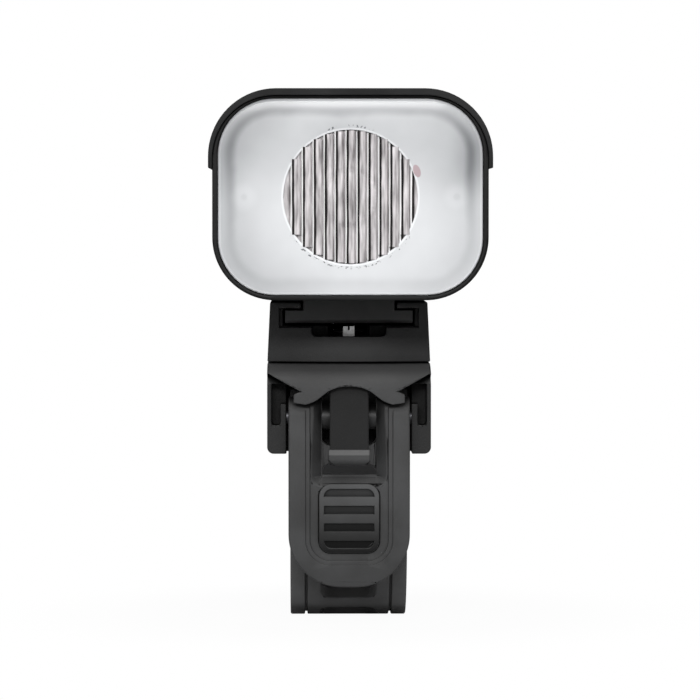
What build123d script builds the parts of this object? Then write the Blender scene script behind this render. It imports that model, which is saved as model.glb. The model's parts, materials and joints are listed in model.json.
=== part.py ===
# Bicycle headlight on a strap mount, in millimetres.
# Origin: on the handlebar's axis, in the light's middle plane. +Z up, the beam points along -Y.
import os
from math import cos, sin

from build123d import *

# Handlebar and general clearances
bar_radius = 15.9            # the 31.8 mm bar that the mount grips
slip_gap = 0.3               # between pieces that slide or turn past each other
pin_gap = 0.05               # running fit of a pin in its bore, on the radius
seat_gap = 0.05              # between pieces of one body that are dropped into each other
overrun = 2.0                # how far a cut runs past the face that it opens

# Saddle pad
pad_thickness = 1.8
pad_stand = 1.3              # how far the pad stands proud of the base, towards the bar

# Base of the mount
ear_wall = 1.0               # between the cheeks' room and the hollows beside it
turret_reach = 22.0          # front and rear of the turret, from the swivel axis
turret_round = 34.0          # radius of its front and rear faces
saddle_wall = 2.4            # between the saddle and the threaded insert
cheek_bottom = 10.8
ear_front = 1.5              # from the lever's pin to the cheeks' front face
cheek_corner = 1.1
cheek_gap = 21.0             # room between the cheeks for the lever and the strap
roof_thickness = 3.3
scoop_width = 1.5            # hollow in the front of each cheek, beside the hub
scoop_skin = 0.75
scoop_drop = 1.4             # below the lever's pin
scoop_depth = 4.0
ear_radius = 2.2             # of the wall left round the pin, under the open part of the hollow

# Brow over the lever's hub
brow_gap = 1.5               # room ahead of the lever's hub
brow_wall = 1.2
brow_drop = 4.3              # this and the drops below are measured from the base's top
brow_side_drop = 1.5         # lower edge at the brow's outer ends
brow_side_inset = 2.05       # where the brow's lower edge meets the cheek
brow_edge_drop = 2.6
leg_drop = 6.7
leg_inner = 7.25
leg_outer = 9.3
leg_chamfer = 0.3
leg_top_drop = 5.0
leg_waist = 8.1              # the leg's upper end, set in behind the brow's edge
leg_waist_drop = 4.5
arch_drop = 3.6
arch_shoulder = 3.4          # half width of the arch where it turns down into the legs
arch_shoulder_drop = 4.4
arch_foot = 5.4
arch_foot_drop = 5.9

# Lever with its pin, window and strap hook
strap_gap = 0.4              # between the strap and the lever's hub
lever_room = 2.2             # above the lever's hub
hub_radius = 3.4
barrel_radius = 2.1
pin_radius = 1.25
lever_side_gap = 0.325
lever_length = 28.65         # from the pin to the tip
lever_lean = 1.6             # how far the tip's face lies behind the hub's
lever_bow = 0.25             # how far the face bulges ahead of the hub
lever_thickness = 3.5
lever_tip_corner = 9.0
window_half_width = 4.55
window_swing = 9.75          # radius about the pin that the catch needs free
tooth_reach = 5.6
tooth_thickness = 1.6
tooth_side_gap = 1.15        # in the strap's hole
rim_width = 2.85             # from the lever's edge to the first step
rim_step_width = 0.75        # from the first step to the second
rim_depth = 0.3              # each of the two steps
rim_foot = 3.75              # height of the first step above the tip
panel_corner = 4.3
dish_half_width = 6.5        # hollow in the panel round the window
dish_reach = 11.8            # below the lever's pin
dish_depth = 2.0
dish_taper = 42.0            # degrees, of the hollow's sides

# Grip pad on the lever
grip_side_gap = 1.525        # from the panel's edge to the pad
grip_height = 11.7
grip_rise = 11.65            # from the lever's tip to the pad's middle
grip_corner = 2.1
grip_stand = 0.45
grip_sink = 0.8
groove_count = 4
groove_pitch = 2.95
groove_height = 1.35
groove_depth = 0.5
groove_inset = 0.85

# Spring catch
catch_side_gap = 1.3         # in the lever's window
catch_lead = 0.65            # ahead of the lever's hub
catch_thickness = 1.6
catch_tip_gap = 1.7          # over the window's lower edge
catch_lip_side = 0.2
catch_lip_corner = 0.9
catch_lip_reach = 0.9
catch_lip_slope = 0.8
catch_lip_face = 0.9
catch_lip_height = 2.65
catch_root_rise = 0.6        # over the roof's underside
catch_root_radius = 0.75
catch_root_side = 0.95

# Strap and its anchor pin
strap_thickness = 2.4
strap_side_gap = 0.6         # between the cheeks
hole_length = 6.2            # a hole's length along the strap
hole_pitch = 9.3
hole_width = 9.5
hole_corner = 1.9
hole_count = 6
strap_end_gap = 1.0          # under the roof
bead_width = 2.5             # thick edge on each side of the strap
bead_groove_width = 0.4
bead_groove_depth = 0.5
anchor_gap = 0.4             # between the bar and the strap's eye
anchor_eye_radius = 3.0
anchor_pin_radius = 1.5

# Swivel between the base and the cradle
seam_gap = 0.2
screw_radius = 2.5
screw_head_radius = 4.2
screw_head_height = 2.0
cradle_floor = 2.1           # under the screw's head
screw_end_gap = 0.1          # from the screw's end to the insert's
screw_socket_radius = 1.7
screw_socket_depth = 1.2
washer_radius = 8.0
washer_thickness = 1.0
insert_radius = 3.9
insert_length = 5.0

# Cradle
lip_thickness = 1.05         # of the cradle's lips, over the rail
cradle_draft = 2.6           # degrees, on the outer wall
well_depth = 1.8             # of the spring's well under the rail's channel
channel_rear_wall = 4.5      # behind the rail
foot_top_gap = 0.25
neck_gap = 0.35
notch_half_width = 6.3
head_gap = 0.2               # over the screw's head
notch_corner = 0.9
notch_depth = 6.5
mouth_side_gap = 0.7         # the channel's flared front end
mouth_drop = 0.25
mouth_depth = 3.0
well_side_gap = 0.9          # beside the spring

# Rail under the light
channel_wall = 2.7
foot_gap = 0.45              # under the rail
foot_thickness = 2.25
foot_inset = 1.6             # from the turret's front to the rail's
foot_chamfer = 0.6
foot_ledge = 3.0             # each side of the rail, under a lip
rail_screw_radius = 1.25
rail_screw_head_radius = 2.4
rail_screw_head_height = 1.2
rail_screw_front_inset = 5.9
rail_screw_rear_inset = 6.7

# Detent spring and release tab
spring_thickness = 0.4
spring_width = 5.0
spring_rise = 0.6            # of the leaf over the well's floor
spring_front_inset = 4.4     # from the turret's front
spring_rear_inset = 1.0      # from the turret's rear
spring_tip_width = 1.9
spring_tip_height = 1.65
spring_slit = 0.3
bump_place = -4.0
bump_length = 4.0
bump_rise = 2.1
bump_pocket_depth = 1.5
tab_width = 11.0
tab_gap = 0.6                # behind the rail's channel
tab_reach = 3.4              # behind the turret
tab_top_gap = 0.2
tab_ledge = 1.8
tab_travel = 1.0

# Housing of the light
housing_gap = 0.8            # over the cradle
housing_corner = 10.2
housing_wall = 1.8
housing_front = -46.2
boss_gap = 0.2               # from the battery holder to the rear screws' bosses
hood_overhang = 1.3          # ahead of the housing
hood_rise = 1.1
hood_side = 0.65             # how far the hood stands out at each side
hood_corner_growth = 0.8
hood_split_rise = 4.8        # of the hood's lower edge over the housing's middle
cap_depth = 3.0
cap_port_gap = 0.3           # round the charging port
cap_round = 2.2
seal_thickness = 0.8
seal_inset = 0.2             # from the housing's outline to the seal's

# Lens and bezel
bezel_side = 0.9             # bezel's width beside, under and over the lens
bezel_foot = 0.8
bezel_head = 0.5
lens_corner_inset = 1.0
lens_sink = 0.2              # behind the bezel's face
lens_thickness = 2.0
flute_area_radius = 10.7
flute_pitch = 1.77
flute_radius = 0.8
flute_recess = 0.6
bezel_depth = 4.6
bezel_ledge = 1.7

# Optics and heat sink
tray_depth = 8.4
tray_wall = 1.0
tray_shelf = 2.8
tray_hole_gap = 0.4          # round the collimator
boss_inset = 4.1             # from the lens's side to the boss
boss_radius = 2.2
boss_hole_radius = 0.9
boss_hole_depth = 2.0
collimator_radius = 8.6
collimator_rear_radius = 3.6
collimator_depth = 7.6
collimator_rim = 1.0
collimator_well_radius = 2.2
collimator_well_depth = 2.4
led_size = 3.0
led_height = 0.7
led_dome_radius = 1.3
led_board_size = 20.0
led_board_thickness = 1.6
sink_plate = 3.0
sink_depth = 6.0
fin_count = 9
fin_thickness = 1.4

# Battery and electronics
cell_radius = 9.2
cell_length = 65.0
cell_gap = 0.5
cell_nub_radius = 2.8
cell_nub_height = 0.8
cell_round = 0.8
holder_floor = 0.8
holder_wall = 1.0
holder_end = 1.2
holder_side_gap = 0.9        # between the holder and the housing
driver_length = 42.0
driver_side_gap = 1.1
driver_thickness = 1.6
driver_gap = 1.0             # between the cells and the driver board
driver_rear_gap = 0.4
choke_size = 7.0
choke_height = 3.2
choke_inset = 12.2           # from the driver board's rear edge
switch_size = 6.0
switch_height = 3.5
switch_nub_radius = 1.6
switch_nub_height = 0.6
button_inset = 26.2          # from the driver board's rear edge
button_radius = 6.0
button_flange = 0.9
button_flange_thickness = 1.0
stem_length = 2.0            # from the button's flange down to the switch
button_stand = 0.8
button_travel = 0.6
button_round = 0.6
socket_width = 9.0
socket_height = 3.2
socket_depth = 7.3
socket_wall = 0.4
socket_tongue = 0.7

# Charging port's cover
cover_side_margin = 2.5      # beside the socket
cover_margin = 2.7           # over and under the socket
cover_thickness = 1.4
cover_corner = 2.2
cover_plug_depth = 1.6
knuckle_radius = 0.9
knuckle_width = 7.0

# Rear cap's screws
cap_screw_radius = 1.0
cap_screw_head_radius = 1.9
cap_screw_head_height = 1.2
cap_screw_length = 7.0
cap_screw_inset = 6.0
cap_boss_radius = 2.8
cap_boss_length = 4.4

# Widths and places of the mount, worked out from the sizes above
saddle_radius = bar_radius + pad_thickness
strap_outer = bar_radius + strap_thickness
strap_middle = bar_radius + strap_thickness / 2
strap_width = cheek_gap - 2 * strap_side_gap
base_width = cheek_gap + 2 * (ear_wall + scoop_width + scoop_skin)
base_top = saddle_radius + saddle_wall + insert_length + washer_thickness - seam_gap
roof_bottom = base_top - roof_thickness
cheek_inner = cheek_gap / 2
cheek_outer = base_width / 2
pivot_front = strap_outer + strap_gap + hub_radius
pivot_height = roof_bottom - lever_room - hub_radius
hub_front = pivot_front + hub_radius
cheek_front = pivot_front + ear_front
scoop_bottom = pivot_height - scoop_drop
brow_reach = hub_front + brow_gap + brow_wall
brow_face_height = base_top - brow_drop
brow_side_height = base_top - brow_side_drop
brow_side_place = cheek_outer - brow_side_inset
brow_side_edge = base_top - brow_edge_drop
leg_bottom = base_top - leg_drop
leg_top = base_top - leg_top_drop
leg_waist_height = base_top - leg_waist_drop
arch_top = base_top - arch_drop
arch_shoulder_height = base_top - arch_shoulder_drop
arch_foot_height = base_top - arch_foot_drop
lever_width = cheek_gap - 2 * lever_side_gap
lever_tip = pivot_height - lever_length
lever_tip_front = hub_front - lever_lean
tooth_width = hole_width - 2 * tooth_side_gap
dish_bottom = pivot_height - dish_reach
grip_width = lever_width - 2 * (rim_width + rim_step_width + grip_side_gap)
grip_middle = lever_tip + grip_rise
catch_width = 2 * (window_half_width - catch_side_gap)
catch_front = hub_front + catch_lead
catch_bottom = pivot_height - window_swing + catch_tip_gap
catch_lip_width = catch_width + 2 * catch_lip_side
catch_root_height = roof_bottom + catch_root_rise
catch_root_width = catch_width + 2 * catch_root_side
hole_top = pivot_height + tooth_thickness / 2 + slip_gap
strap_end = roof_bottom - strap_end_gap
anchor_offset = bar_radius + anchor_gap + anchor_eye_radius
anchor_height = pivot_height

# Levels of the swivel, cradle and rail, from the base upwards
cradle_bottom = base_top + seam_gap
insert_top = base_top - washer_thickness + seam_gap
screw_head_seat = cradle_bottom + cradle_floor
screw_length = screw_head_seat - insert_top + insert_length - screw_end_gap
notch_floor = screw_head_seat + screw_head_height + head_gap
spring_level = notch_floor + spring_rise
spring_tip_top = notch_floor + spring_tip_height
channel_floor = notch_floor + well_depth
foot_bottom = channel_floor + foot_gap
foot_top = foot_bottom + foot_thickness
lip_bottom = foot_top + foot_top_gap
cradle_top = lip_bottom + lip_thickness
tab_top = cradle_top - tab_top_gap

# Widths and places of the cradle, rail and spring
channel_half_width = base_width / 2 - channel_wall
foot_width = 2 * (channel_half_width - slip_gap)
neck_width = foot_width - 2 * foot_ledge
lip_half_gap = neck_width / 2 + neck_gap
well_half_width = spring_width / 2 + well_side_gap
channel_rear = turret_reach - channel_rear_wall
foot_front = foot_inset - turret_reach
foot_rear = channel_rear - slip_gap
rail_screw_places = (foot_front + rail_screw_front_inset, foot_rear - rail_screw_rear_inset)
spring_front = spring_front_inset - turret_reach
spring_rear = turret_reach - spring_rear_inset
tab_front = channel_rear + tab_gap
tab_rear = turret_reach + tab_reach

# The battery and the board above it set the housing's width and height
cell_offset = cell_radius + cell_gap / 2
holder_half = cell_offset + cell_radius + seat_gap + holder_wall
housing_width = 2 * (holder_half + holder_side_gap + housing_wall)
housing_bottom = cradle_top + housing_gap
inner_floor = housing_bottom + housing_wall
cell_height = inner_floor + holder_floor + cell_radius
driver_bottom = cell_height + cell_radius + driver_gap
driver_top = driver_bottom + driver_thickness
stem_bottom = driver_top + switch_height + switch_nub_height + button_travel + seat_gap
flange_top = stem_bottom + stem_length + button_flange_thickness
housing_top = flange_top + seat_gap + housing_wall
housing_centre = (housing_bottom + housing_top) / 2
housing_height = housing_top - housing_bottom
inner_width = housing_width - 2 * housing_wall
driver_width = inner_width - 2 * driver_side_gap
hood_top = housing_top + hood_rise
hood_corner = housing_corner + hood_corner_growth
hood_split = housing_centre + hood_split_rise

# Lens and tray
lens_width = housing_width - 2 * bezel_side
lens_height = housing_height - bezel_foot - bezel_head
lens_height_centre = housing_centre + (bezel_foot - bezel_head) / 2
lens_corner = housing_corner - lens_corner_inset
tray_hole_radius = collimator_radius + tray_hole_gap
boss_offset = lens_width / 2 - boss_inset

# Places along the beam, from the front to the rear
hood_front = housing_front - hood_overhang
lens_front = housing_front + lens_sink
lens_rear = lens_front + lens_thickness
seal_rear = lens_rear + seal_thickness
tray_rear = seal_rear + tray_depth
led_board_front = tray_rear
sink_front = led_board_front + led_board_thickness
sink_rear = sink_front + sink_plate + sink_depth
cell_front = sink_rear + holder_end + cell_nub_height
cell_rear = cell_front + cell_length
housing_rear = cell_rear + holder_end + boss_gap + cap_boss_length
driver_rear = housing_rear - driver_rear_gap
choke_place = driver_rear - choke_inset
button_place = driver_rear - button_inset
cap_front = housing_rear + seal_thickness
cap_rear = cap_front + cap_depth
socket_rear = cap_front
socket_centre = driver_top + socket_height / 2
cover_width = socket_width + 2 * cover_side_margin
cover_height = socket_height + 2 * cover_margin

os.makedirs("parts", exist_ok=True)


def across(y):
    """Plane square to the beam at the given y: X to the right, Z up, its normal forwards."""
    return Plane.XZ.offset(-y)


def finish(part, name):
    """Name a finished piece and write its file."""
    part.label = name
    export_step(part, f"parts/{name}.step")
    print(f"{name}: {len(part.solids())} solids, {part.volume:.0f} cubic mm")


def turret_outline():
    """Plan of the turret: bowed front and rear, straight sides."""
    with Locations((0, turret_round - turret_reach)):
        Circle(turret_round)
    with Locations((0, turret_reach - turret_round)):
        Circle(turret_round, mode=Mode.INTERSECT)
    Rectangle(base_width, 2 * turret_reach, mode=Mode.INTERSECT)


def lever_outline(inset, foot):
    """Front view of the lever, drawn in by inset at the sides and by foot at the tip."""
    top = pivot_height + hub_radius + overrun
    with Locations((0, (top + lever_tip + foot) / 2)):
        Rectangle(lever_width - 2 * inset, top - lever_tip - foot)


def lever_face(back):
    """The lever's bowed front, from above the hub down to the tip, moved back by the given depth."""
    return ThreePointArc(
        (-hub_front + back, pivot_height),
        (-hub_front - lever_bow + back, (pivot_height + lever_tip) / 2),
        (-lever_tip_front + back, lever_tip))


def lever_layer(front, back):
    """A layer of the lever that follows its front, between two depths behind the face."""
    with BuildPart() as layer:
        with BuildSketch(Plane.YZ):
            with BuildLine():
                near = lever_face(front)
                far = lever_face(back)
                Polyline(near @ 0, near @ 0 + (0, hub_radius), far @ 0 + (0, hub_radius), far @ 0)
                Line(near @ 1, far @ 1)
            make_face()
        extrude(amount=lever_width, both=True)
    return layer.part


def strap_plane(along):
    """Plane on the strap's outer face, at a distance along the strap from the bar's front (up is positive)."""
    turn = min(along, 0) / strap_middle
    outwards = (0, -cos(turn), sin(turn))
    height = max(along, 0)
    return Plane(
        origin=(0, strap_outer * outwards[1], strap_outer * outwards[2] + height),
        x_dir=(1, 0, 0), z_dir=outwards)


# Brow: a bowed skirt over the lever's hub, with two legs and an arch between them
with BuildPart() as brow:
    with BuildSketch(Plane.YZ) as brow_side:
        with BuildLine():
            face = Spline(
                (-turret_reach, base_top), (-brow_reach, brow_face_height),
                tangents=((-1, -0.35), (-0.08, -1)))
            Polyline(
                face @ 1, (-brow_reach + leg_chamfer, leg_bottom),
                (-brow_reach + brow_wall / 2, leg_bottom), (-brow_reach + brow_wall, leg_top),
                (-brow_reach + brow_wall, roof_bottom), (-turret_reach + overrun, roof_bottom),
                (-turret_reach + overrun, base_top), face @ 0)
        make_face()
    revolve(axis=Axis((0, turret_round - turret_reach, 0), (0, 0, 1)), revolution_arc=360)
    with BuildSketch(across(0)):
        with BuildLine():
            arch = Spline(
                (-leg_inner, leg_bottom), (-arch_foot, arch_foot_height), (-arch_shoulder, arch_shoulder_height),
                (0, arch_top), (arch_shoulder, arch_shoulder_height), (arch_foot, arch_foot_height),
                (leg_inner, leg_bottom), tangents=((1, 0.3), (1, -0.3)))
            Polyline(
                arch @ 1, (leg_outer, leg_bottom + leg_chamfer), (leg_outer, leg_top),
                (leg_waist, leg_waist_height), (brow_side_place, brow_side_edge),
                (cheek_outer, brow_side_height), (cheek_outer, base_top),
                (-cheek_outer, base_top), (-cheek_outer, brow_side_height),
                (-brow_side_place, brow_side_edge), (-leg_waist, leg_waist_height),
                (-leg_outer, leg_top), (-leg_outer, leg_bottom + leg_chamfer), arch @ 0)
        make_face()
    extrude(amount=brow_reach + overrun, mode=Mode.INTERSECT)

# Base clamp: turret block with its saddle, four cheeks for the two pins, and the brow
with BuildPart() as base_clamp:
    with BuildSketch(Plane.XY.offset(cheek_bottom)):
        turret_outline()
    extrude(amount=base_top - cheek_bottom)
    with BuildSketch(Plane.YZ):
        with BuildLine():
            Polyline(
                (-cheek_front, cheek_bottom), (anchor_offset + anchor_eye_radius, cheek_bottom),
                (anchor_offset + anchor_eye_radius, anchor_height + anchor_eye_radius),
                (turret_reach - anchor_eye_radius, base_top - seam_gap),
                (-turret_reach + anchor_eye_radius, base_top - seam_gap),
                (-cheek_front, roof_bottom), close=True)
        make_face()
    extrude(amount=cheek_outer, both=True)
    fillet(base_clamp.edges().filter_by(Axis.Y).group_by(Axis.Z)[0], radius=cheek_corner)
    with BuildSketch(Plane.YZ):
        Circle(saddle_radius - pad_stand)
    extrude(amount=base_width, both=True, mode=Mode.SUBTRACT)
    with BuildSketch(Plane.YZ):
        Circle(saddle_radius)
    extrude(amount=strap_width / 2, both=True, mode=Mode.SUBTRACT)
    # Room for the lever's hub in front, and for the strap's eye behind
    room_wall = bar_radius - slip_gap
    eye_roof = anchor_height + anchor_eye_radius + slip_gap
    with BuildSketch(Plane.YZ):
        with BuildLine():
            Polyline(
                (-room_wall, 0), (-room_wall, roof_bottom), (-brow_reach, roof_bottom),
                (-brow_reach, 0), close=True)
        make_face()
        with BuildLine():
            Polyline(
                (room_wall, 0), (room_wall, eye_roof), (brow_reach, eye_roof),
                (brow_reach, 0), close=True)
        make_face()
    extrude(amount=cheek_inner, both=True, mode=Mode.SUBTRACT)
    # Hollow beside each pin ear, open to the front
    with BuildSketch(across(-cheek_front + scoop_depth)):
        for side in (-1, 1):
            with Locations((side * (cheek_outer - scoop_skin - scoop_width / 2), (scoop_bottom + roof_bottom) / 2)):
                RectangleRounded(scoop_width, roof_bottom - scoop_bottom, scoop_width / 3)
            with Locations((side * cheek_inner, (pivot_height + ear_radius + roof_bottom) / 2)):
                Rectangle(
                    2 * (cheek_outer - scoop_skin - cheek_inner), roof_bottom - pivot_height - ear_radius)
    extrude(amount=scoop_depth + overrun, mode=Mode.SUBTRACT)
    add(brow.part)
    # Bores of the lever's pin and the anchor pin
    with BuildSketch(Plane.YZ):
        with Locations((-pivot_front, pivot_height)):
            Circle(pin_radius)
        with Locations((anchor_offset, anchor_height)):
            Circle(anchor_pin_radius)
    extrude(amount=cheek_outer - scoop_skin, both=True, mode=Mode.SUBTRACT)
    # Slot and round socket for the catch's root
    with BuildSketch(Plane.YZ):
        with Locations((-catch_front + catch_thickness / 2, catch_root_height)):
            Circle(catch_root_radius + pin_gap)
        with Locations((-catch_front + catch_thickness / 2, roof_bottom)):
            Rectangle(catch_thickness + 2 * slip_gap, 2 * (catch_root_height - roof_bottom))
    extrude(amount=catch_root_width / 2 + slip_gap, both=True, mode=Mode.SUBTRACT)
    # Recess for the washer and seat of the threaded insert
    with BuildSketch(Plane.XY.offset(base_top)):
        Circle(washer_radius + seat_gap)
    extrude(amount=-(washer_thickness - seam_gap), mode=Mode.SUBTRACT)
    with BuildSketch(Plane.XY.offset(base_top)):
        Circle(insert_radius)
    extrude(amount=-(washer_thickness - seam_gap + insert_length), mode=Mode.SUBTRACT)
finish(base_clamp.part, "base_clamp")

# Saddle pad: rubber lining between the base and the bar
with BuildPart() as saddle_pad:
    with BuildSketch(Plane.YZ):
        Circle(saddle_radius)
        Circle(bar_radius, mode=Mode.SUBTRACT)
        with Locations((0, cheek_bottom + saddle_radius)):
            Rectangle(2 * (bar_radius - slip_gap), 2 * saddle_radius, mode=Mode.INTERSECT)
    extrude(amount=strap_width / 2, both=True)
finish(saddle_pad.part, "saddle_pad")

# Threaded brass insert, washer and swivel screw
with BuildPart() as swivel_insert:
    with BuildSketch(Plane.XY.offset(insert_top)):
        Circle(insert_radius)
        Circle(screw_radius, mode=Mode.SUBTRACT)
    extrude(amount=-insert_length)
finish(swivel_insert.part, "swivel_insert")

with BuildPart() as swivel_washer:
    with BuildSketch(Plane.XY.offset(insert_top)):
        Circle(washer_radius)
        Circle(screw_radius + seat_gap, mode=Mode.SUBTRACT)
    extrude(amount=washer_thickness)
finish(swivel_washer.part, "swivel_washer")

with BuildPart() as swivel_screw:
    with BuildSketch(Plane.XY.offset(screw_head_seat)):
        Circle(screw_radius)
    extrude(amount=-screw_length)
    with BuildSketch(Plane.XY.offset(screw_head_seat)):
        Circle(screw_head_radius)
    extrude(amount=screw_head_height)
    fillet(swivel_screw.edges().group_by(Axis.Z)[-1], radius=screw_head_height / 3)
    with BuildSketch(Plane.XY.offset(screw_head_seat + screw_head_height)):
        RegularPolygon(screw_socket_radius, 6)
    extrude(amount=-screw_socket_depth, mode=Mode.SUBTRACT)
finish(swivel_screw.part, "swivel_screw")

# Lever: two hub ears and a bowed plate with a window for the catch
rim_steps = []
for step in (1, 2):
    step_inset = (step - 1) * rim_step_width
    with BuildPart() as sunk:
        with BuildSketch(across(0)) as panel:
            lever_outline(rim_width + step_inset, rim_foot + step_inset)
            fillet(panel.vertices().group_by(Axis.Y)[0], radius=panel_corner - step_inset)
        extrude(amount=brow_reach)
        add(lever_layer(-overrun, step * rim_depth), mode=Mode.INTERSECT)
    rim_steps.append(sunk.part)

with BuildPart() as grip_block:
    with BuildSketch(across(0)):
        with Locations((0, grip_middle)):
            RectangleRounded(grip_width, grip_height, grip_corner)
    extrude(amount=brow_reach)
    add(lever_layer(2 * rim_depth - grip_stand, 2 * rim_depth + grip_sink), mode=Mode.INTERSECT)

with BuildPart() as lever:
    with BuildSketch(Plane.YZ):
        with BuildLine():
            front_line = lever_face(0)
            back_line = lever_face(lever_thickness)
            Line(front_line @ 0, back_line @ 0)
            Line(front_line @ 1, back_line @ 1)
        make_face()
        with Locations((-pivot_front, pivot_height)):
            Circle(hub_radius)
    extrude(amount=lever_width / 2, both=True)
    with BuildSketch(across(0)) as lever_front_view:
        lever_outline(0, 0)
        fillet(lever_front_view.vertices().group_by(Axis.Y)[0], radius=lever_tip_corner)
    extrude(amount=brow_reach, mode=Mode.INTERSECT)
    for sunk_part in rim_steps:
        add(sunk_part, mode=Mode.SUBTRACT)
    with BuildSketch(across(-hub_front)):
        with Locations((0, (dish_bottom + pivot_height + hub_radius + dish_half_width) / 2)):
            RectangleRounded(
                2 * dish_half_width, pivot_height + hub_radius + dish_half_width - dish_bottom, panel_corner / 2)
    extrude(amount=-dish_depth, taper=dish_taper, mode=Mode.SUBTRACT)
    add(grip_block.part, mode=Mode.SUBTRACT)
    with BuildSketch(Plane.YZ):
        with Locations((-pivot_front, pivot_height)):
            Circle(window_swing)
    extrude(amount=window_half_width, both=True, mode=Mode.SUBTRACT)
    with BuildSketch(Plane.YZ):
        with Locations((-pivot_front, pivot_height)):
            Circle(pin_radius + pin_gap)
    extrude(amount=lever_width, both=True, mode=Mode.SUBTRACT)
finish(lever.part, "lever")

# Strap hook: a barrel between the lever's ears, with the tooth that holds one of the strap's holes
with BuildPart() as strap_hook:
    with BuildSketch(Plane.YZ):
        with Locations((-pivot_front, pivot_height)):
            Circle(barrel_radius)
    extrude(amount=window_half_width - seat_gap, both=True)
    with BuildSketch(Plane.YZ):
        with Locations((-pivot_front + tooth_reach / 2, pivot_height)):
            Rectangle(tooth_reach, tooth_thickness)
    extrude(amount=tooth_width / 2, both=True)
    with BuildSketch(Plane.YZ):
        with Locations((-pivot_front, pivot_height)):
            Circle(pin_radius + pin_gap)
    extrude(amount=window_half_width, both=True, mode=Mode.SUBTRACT)
finish(strap_hook.part, "strap_hook")

# Finger grooves of the grip pad, each shortened to follow the pad's rounded corners
with BuildPart() as grip_grooves:
    with BuildSketch(across(0)):
        with Locations((0, grip_middle)):
            with GridLocations(0, groove_pitch, 1, groove_count):
                Rectangle(grip_width, groove_height)
            RectangleRounded(
                grip_width - 2 * groove_inset, grip_height - 2 * groove_inset,
                grip_corner - groove_inset, mode=Mode.INTERSECT)
    extrude(amount=brow_reach)
    add(lever_layer(2 * rim_depth - grip_stand - overrun, 2 * rim_depth - grip_stand + groove_depth),
        mode=Mode.INTERSECT)

with BuildPart() as lever_grip:
    add(grip_block.part)
    add(grip_grooves.part, mode=Mode.SUBTRACT)
finish(lever_grip.part, "lever_grip")

pin_reach = cheek_outer - scoop_skin - scoop_width
with BuildPart() as lever_pin:
    with BuildSketch(Plane.YZ):
        with Locations((-pivot_front, pivot_height)):
            Circle(pin_radius)
    extrude(amount=pin_reach, both=True)
finish(lever_pin.part, "lever_pin")

# Spring catch: a finger that hangs from the roof, through the lever's window, with a lip at its end
catch_middle = -catch_front + catch_thickness / 2
lip_front = catch_front + catch_lip_reach
lip_top = catch_bottom + catch_lip_height
finger_top = catch_root_height - catch_root_radius / 2
with BuildPart() as catch_tongue:
    with BuildSketch(Plane.YZ):
        with Locations((catch_middle, (finger_top + catch_bottom) / 2)):
            Rectangle(catch_thickness, finger_top - catch_bottom)
    extrude(amount=catch_width / 2, both=True)
    with BuildSketch(Plane.YZ):
        with Locations((catch_middle, catch_root_height)):
            Circle(catch_root_radius)
    extrude(amount=catch_root_width / 2, both=True)
    with BuildSketch(Plane.YZ):
        with BuildLine():
            Polyline(
                (-catch_front, lip_top), (-lip_front, lip_top - catch_lip_slope),
                (-lip_front, lip_top - catch_lip_slope - catch_lip_face), (-catch_front, catch_bottom),
                (-catch_front + catch_thickness, catch_bottom),
                (-catch_front + catch_thickness, lip_top), close=True)
        make_face()
    extrude(amount=catch_lip_width / 2, both=True)
    fillet(catch_tongue.edges().filter_by(Axis.Y).group_by(Axis.Z)[0], radius=catch_lip_corner)
finish(catch_tongue.part, "catch_tongue")

# Strap: rubber band round the bar, with a row of holes, thick edges and an eye at its rear end
with BuildPart() as strap:
    with BuildSketch(Plane.YZ):
        Circle(strap_outer)
        Circle(bar_radius, mode=Mode.SUBTRACT)
        with Locations((0, -strap_outer)):
            Rectangle(2 * strap_outer, 2 * strap_outer, mode=Mode.INTERSECT)
        with Locations((-strap_middle, strap_end / 2)):
            Rectangle(strap_thickness, strap_end)
        with Locations((strap_middle, anchor_height / 2)):
            Rectangle(strap_thickness, anchor_height)
        with Locations((anchor_offset, anchor_height)):
            Circle(anchor_eye_radius)
            Circle(anchor_pin_radius, mode=Mode.SUBTRACT)
    extrude(amount=strap_width / 2, both=True)
    # Fine groove beside each thick edge
    groove_place = strap_width / 2 - bead_width - bead_groove_width / 2
    for side in (-1, 1):
        with BuildSketch(Plane.YZ.offset(side * groove_place)):
            Circle(strap_outer + overrun)
            Circle(strap_outer - bead_groove_depth, mode=Mode.SUBTRACT)
            with Locations((0, -strap_outer - overrun)):
                Rectangle(4 * strap_outer, 2 * strap_outer + 2 * overrun, mode=Mode.INTERSECT)
            with Locations((-strap_outer + bead_groove_depth - overrun, strap_end)):
                Rectangle(2 * overrun, 2 * strap_end)
        extrude(amount=bead_groove_width / 2, both=True, mode=Mode.SUBTRACT)
    # Row of holes
    for number in range(hole_count):
        with BuildSketch(strap_plane(hole_top - hole_length / 2 - number * hole_pitch)):
            RectangleRounded(hole_width, hole_length, hole_corner)
        extrude(amount=-(strap_thickness + overrun), mode=Mode.SUBTRACT)
finish(strap.part, "strap")

with BuildPart() as strap_pin:
    with BuildSketch(Plane.YZ):
        with Locations((anchor_offset, anchor_height)):
            Circle(anchor_pin_radius)
    extrude(amount=cheek_outer - scoop_skin, both=True)
finish(strap_pin.part, "strap_pin")

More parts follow.
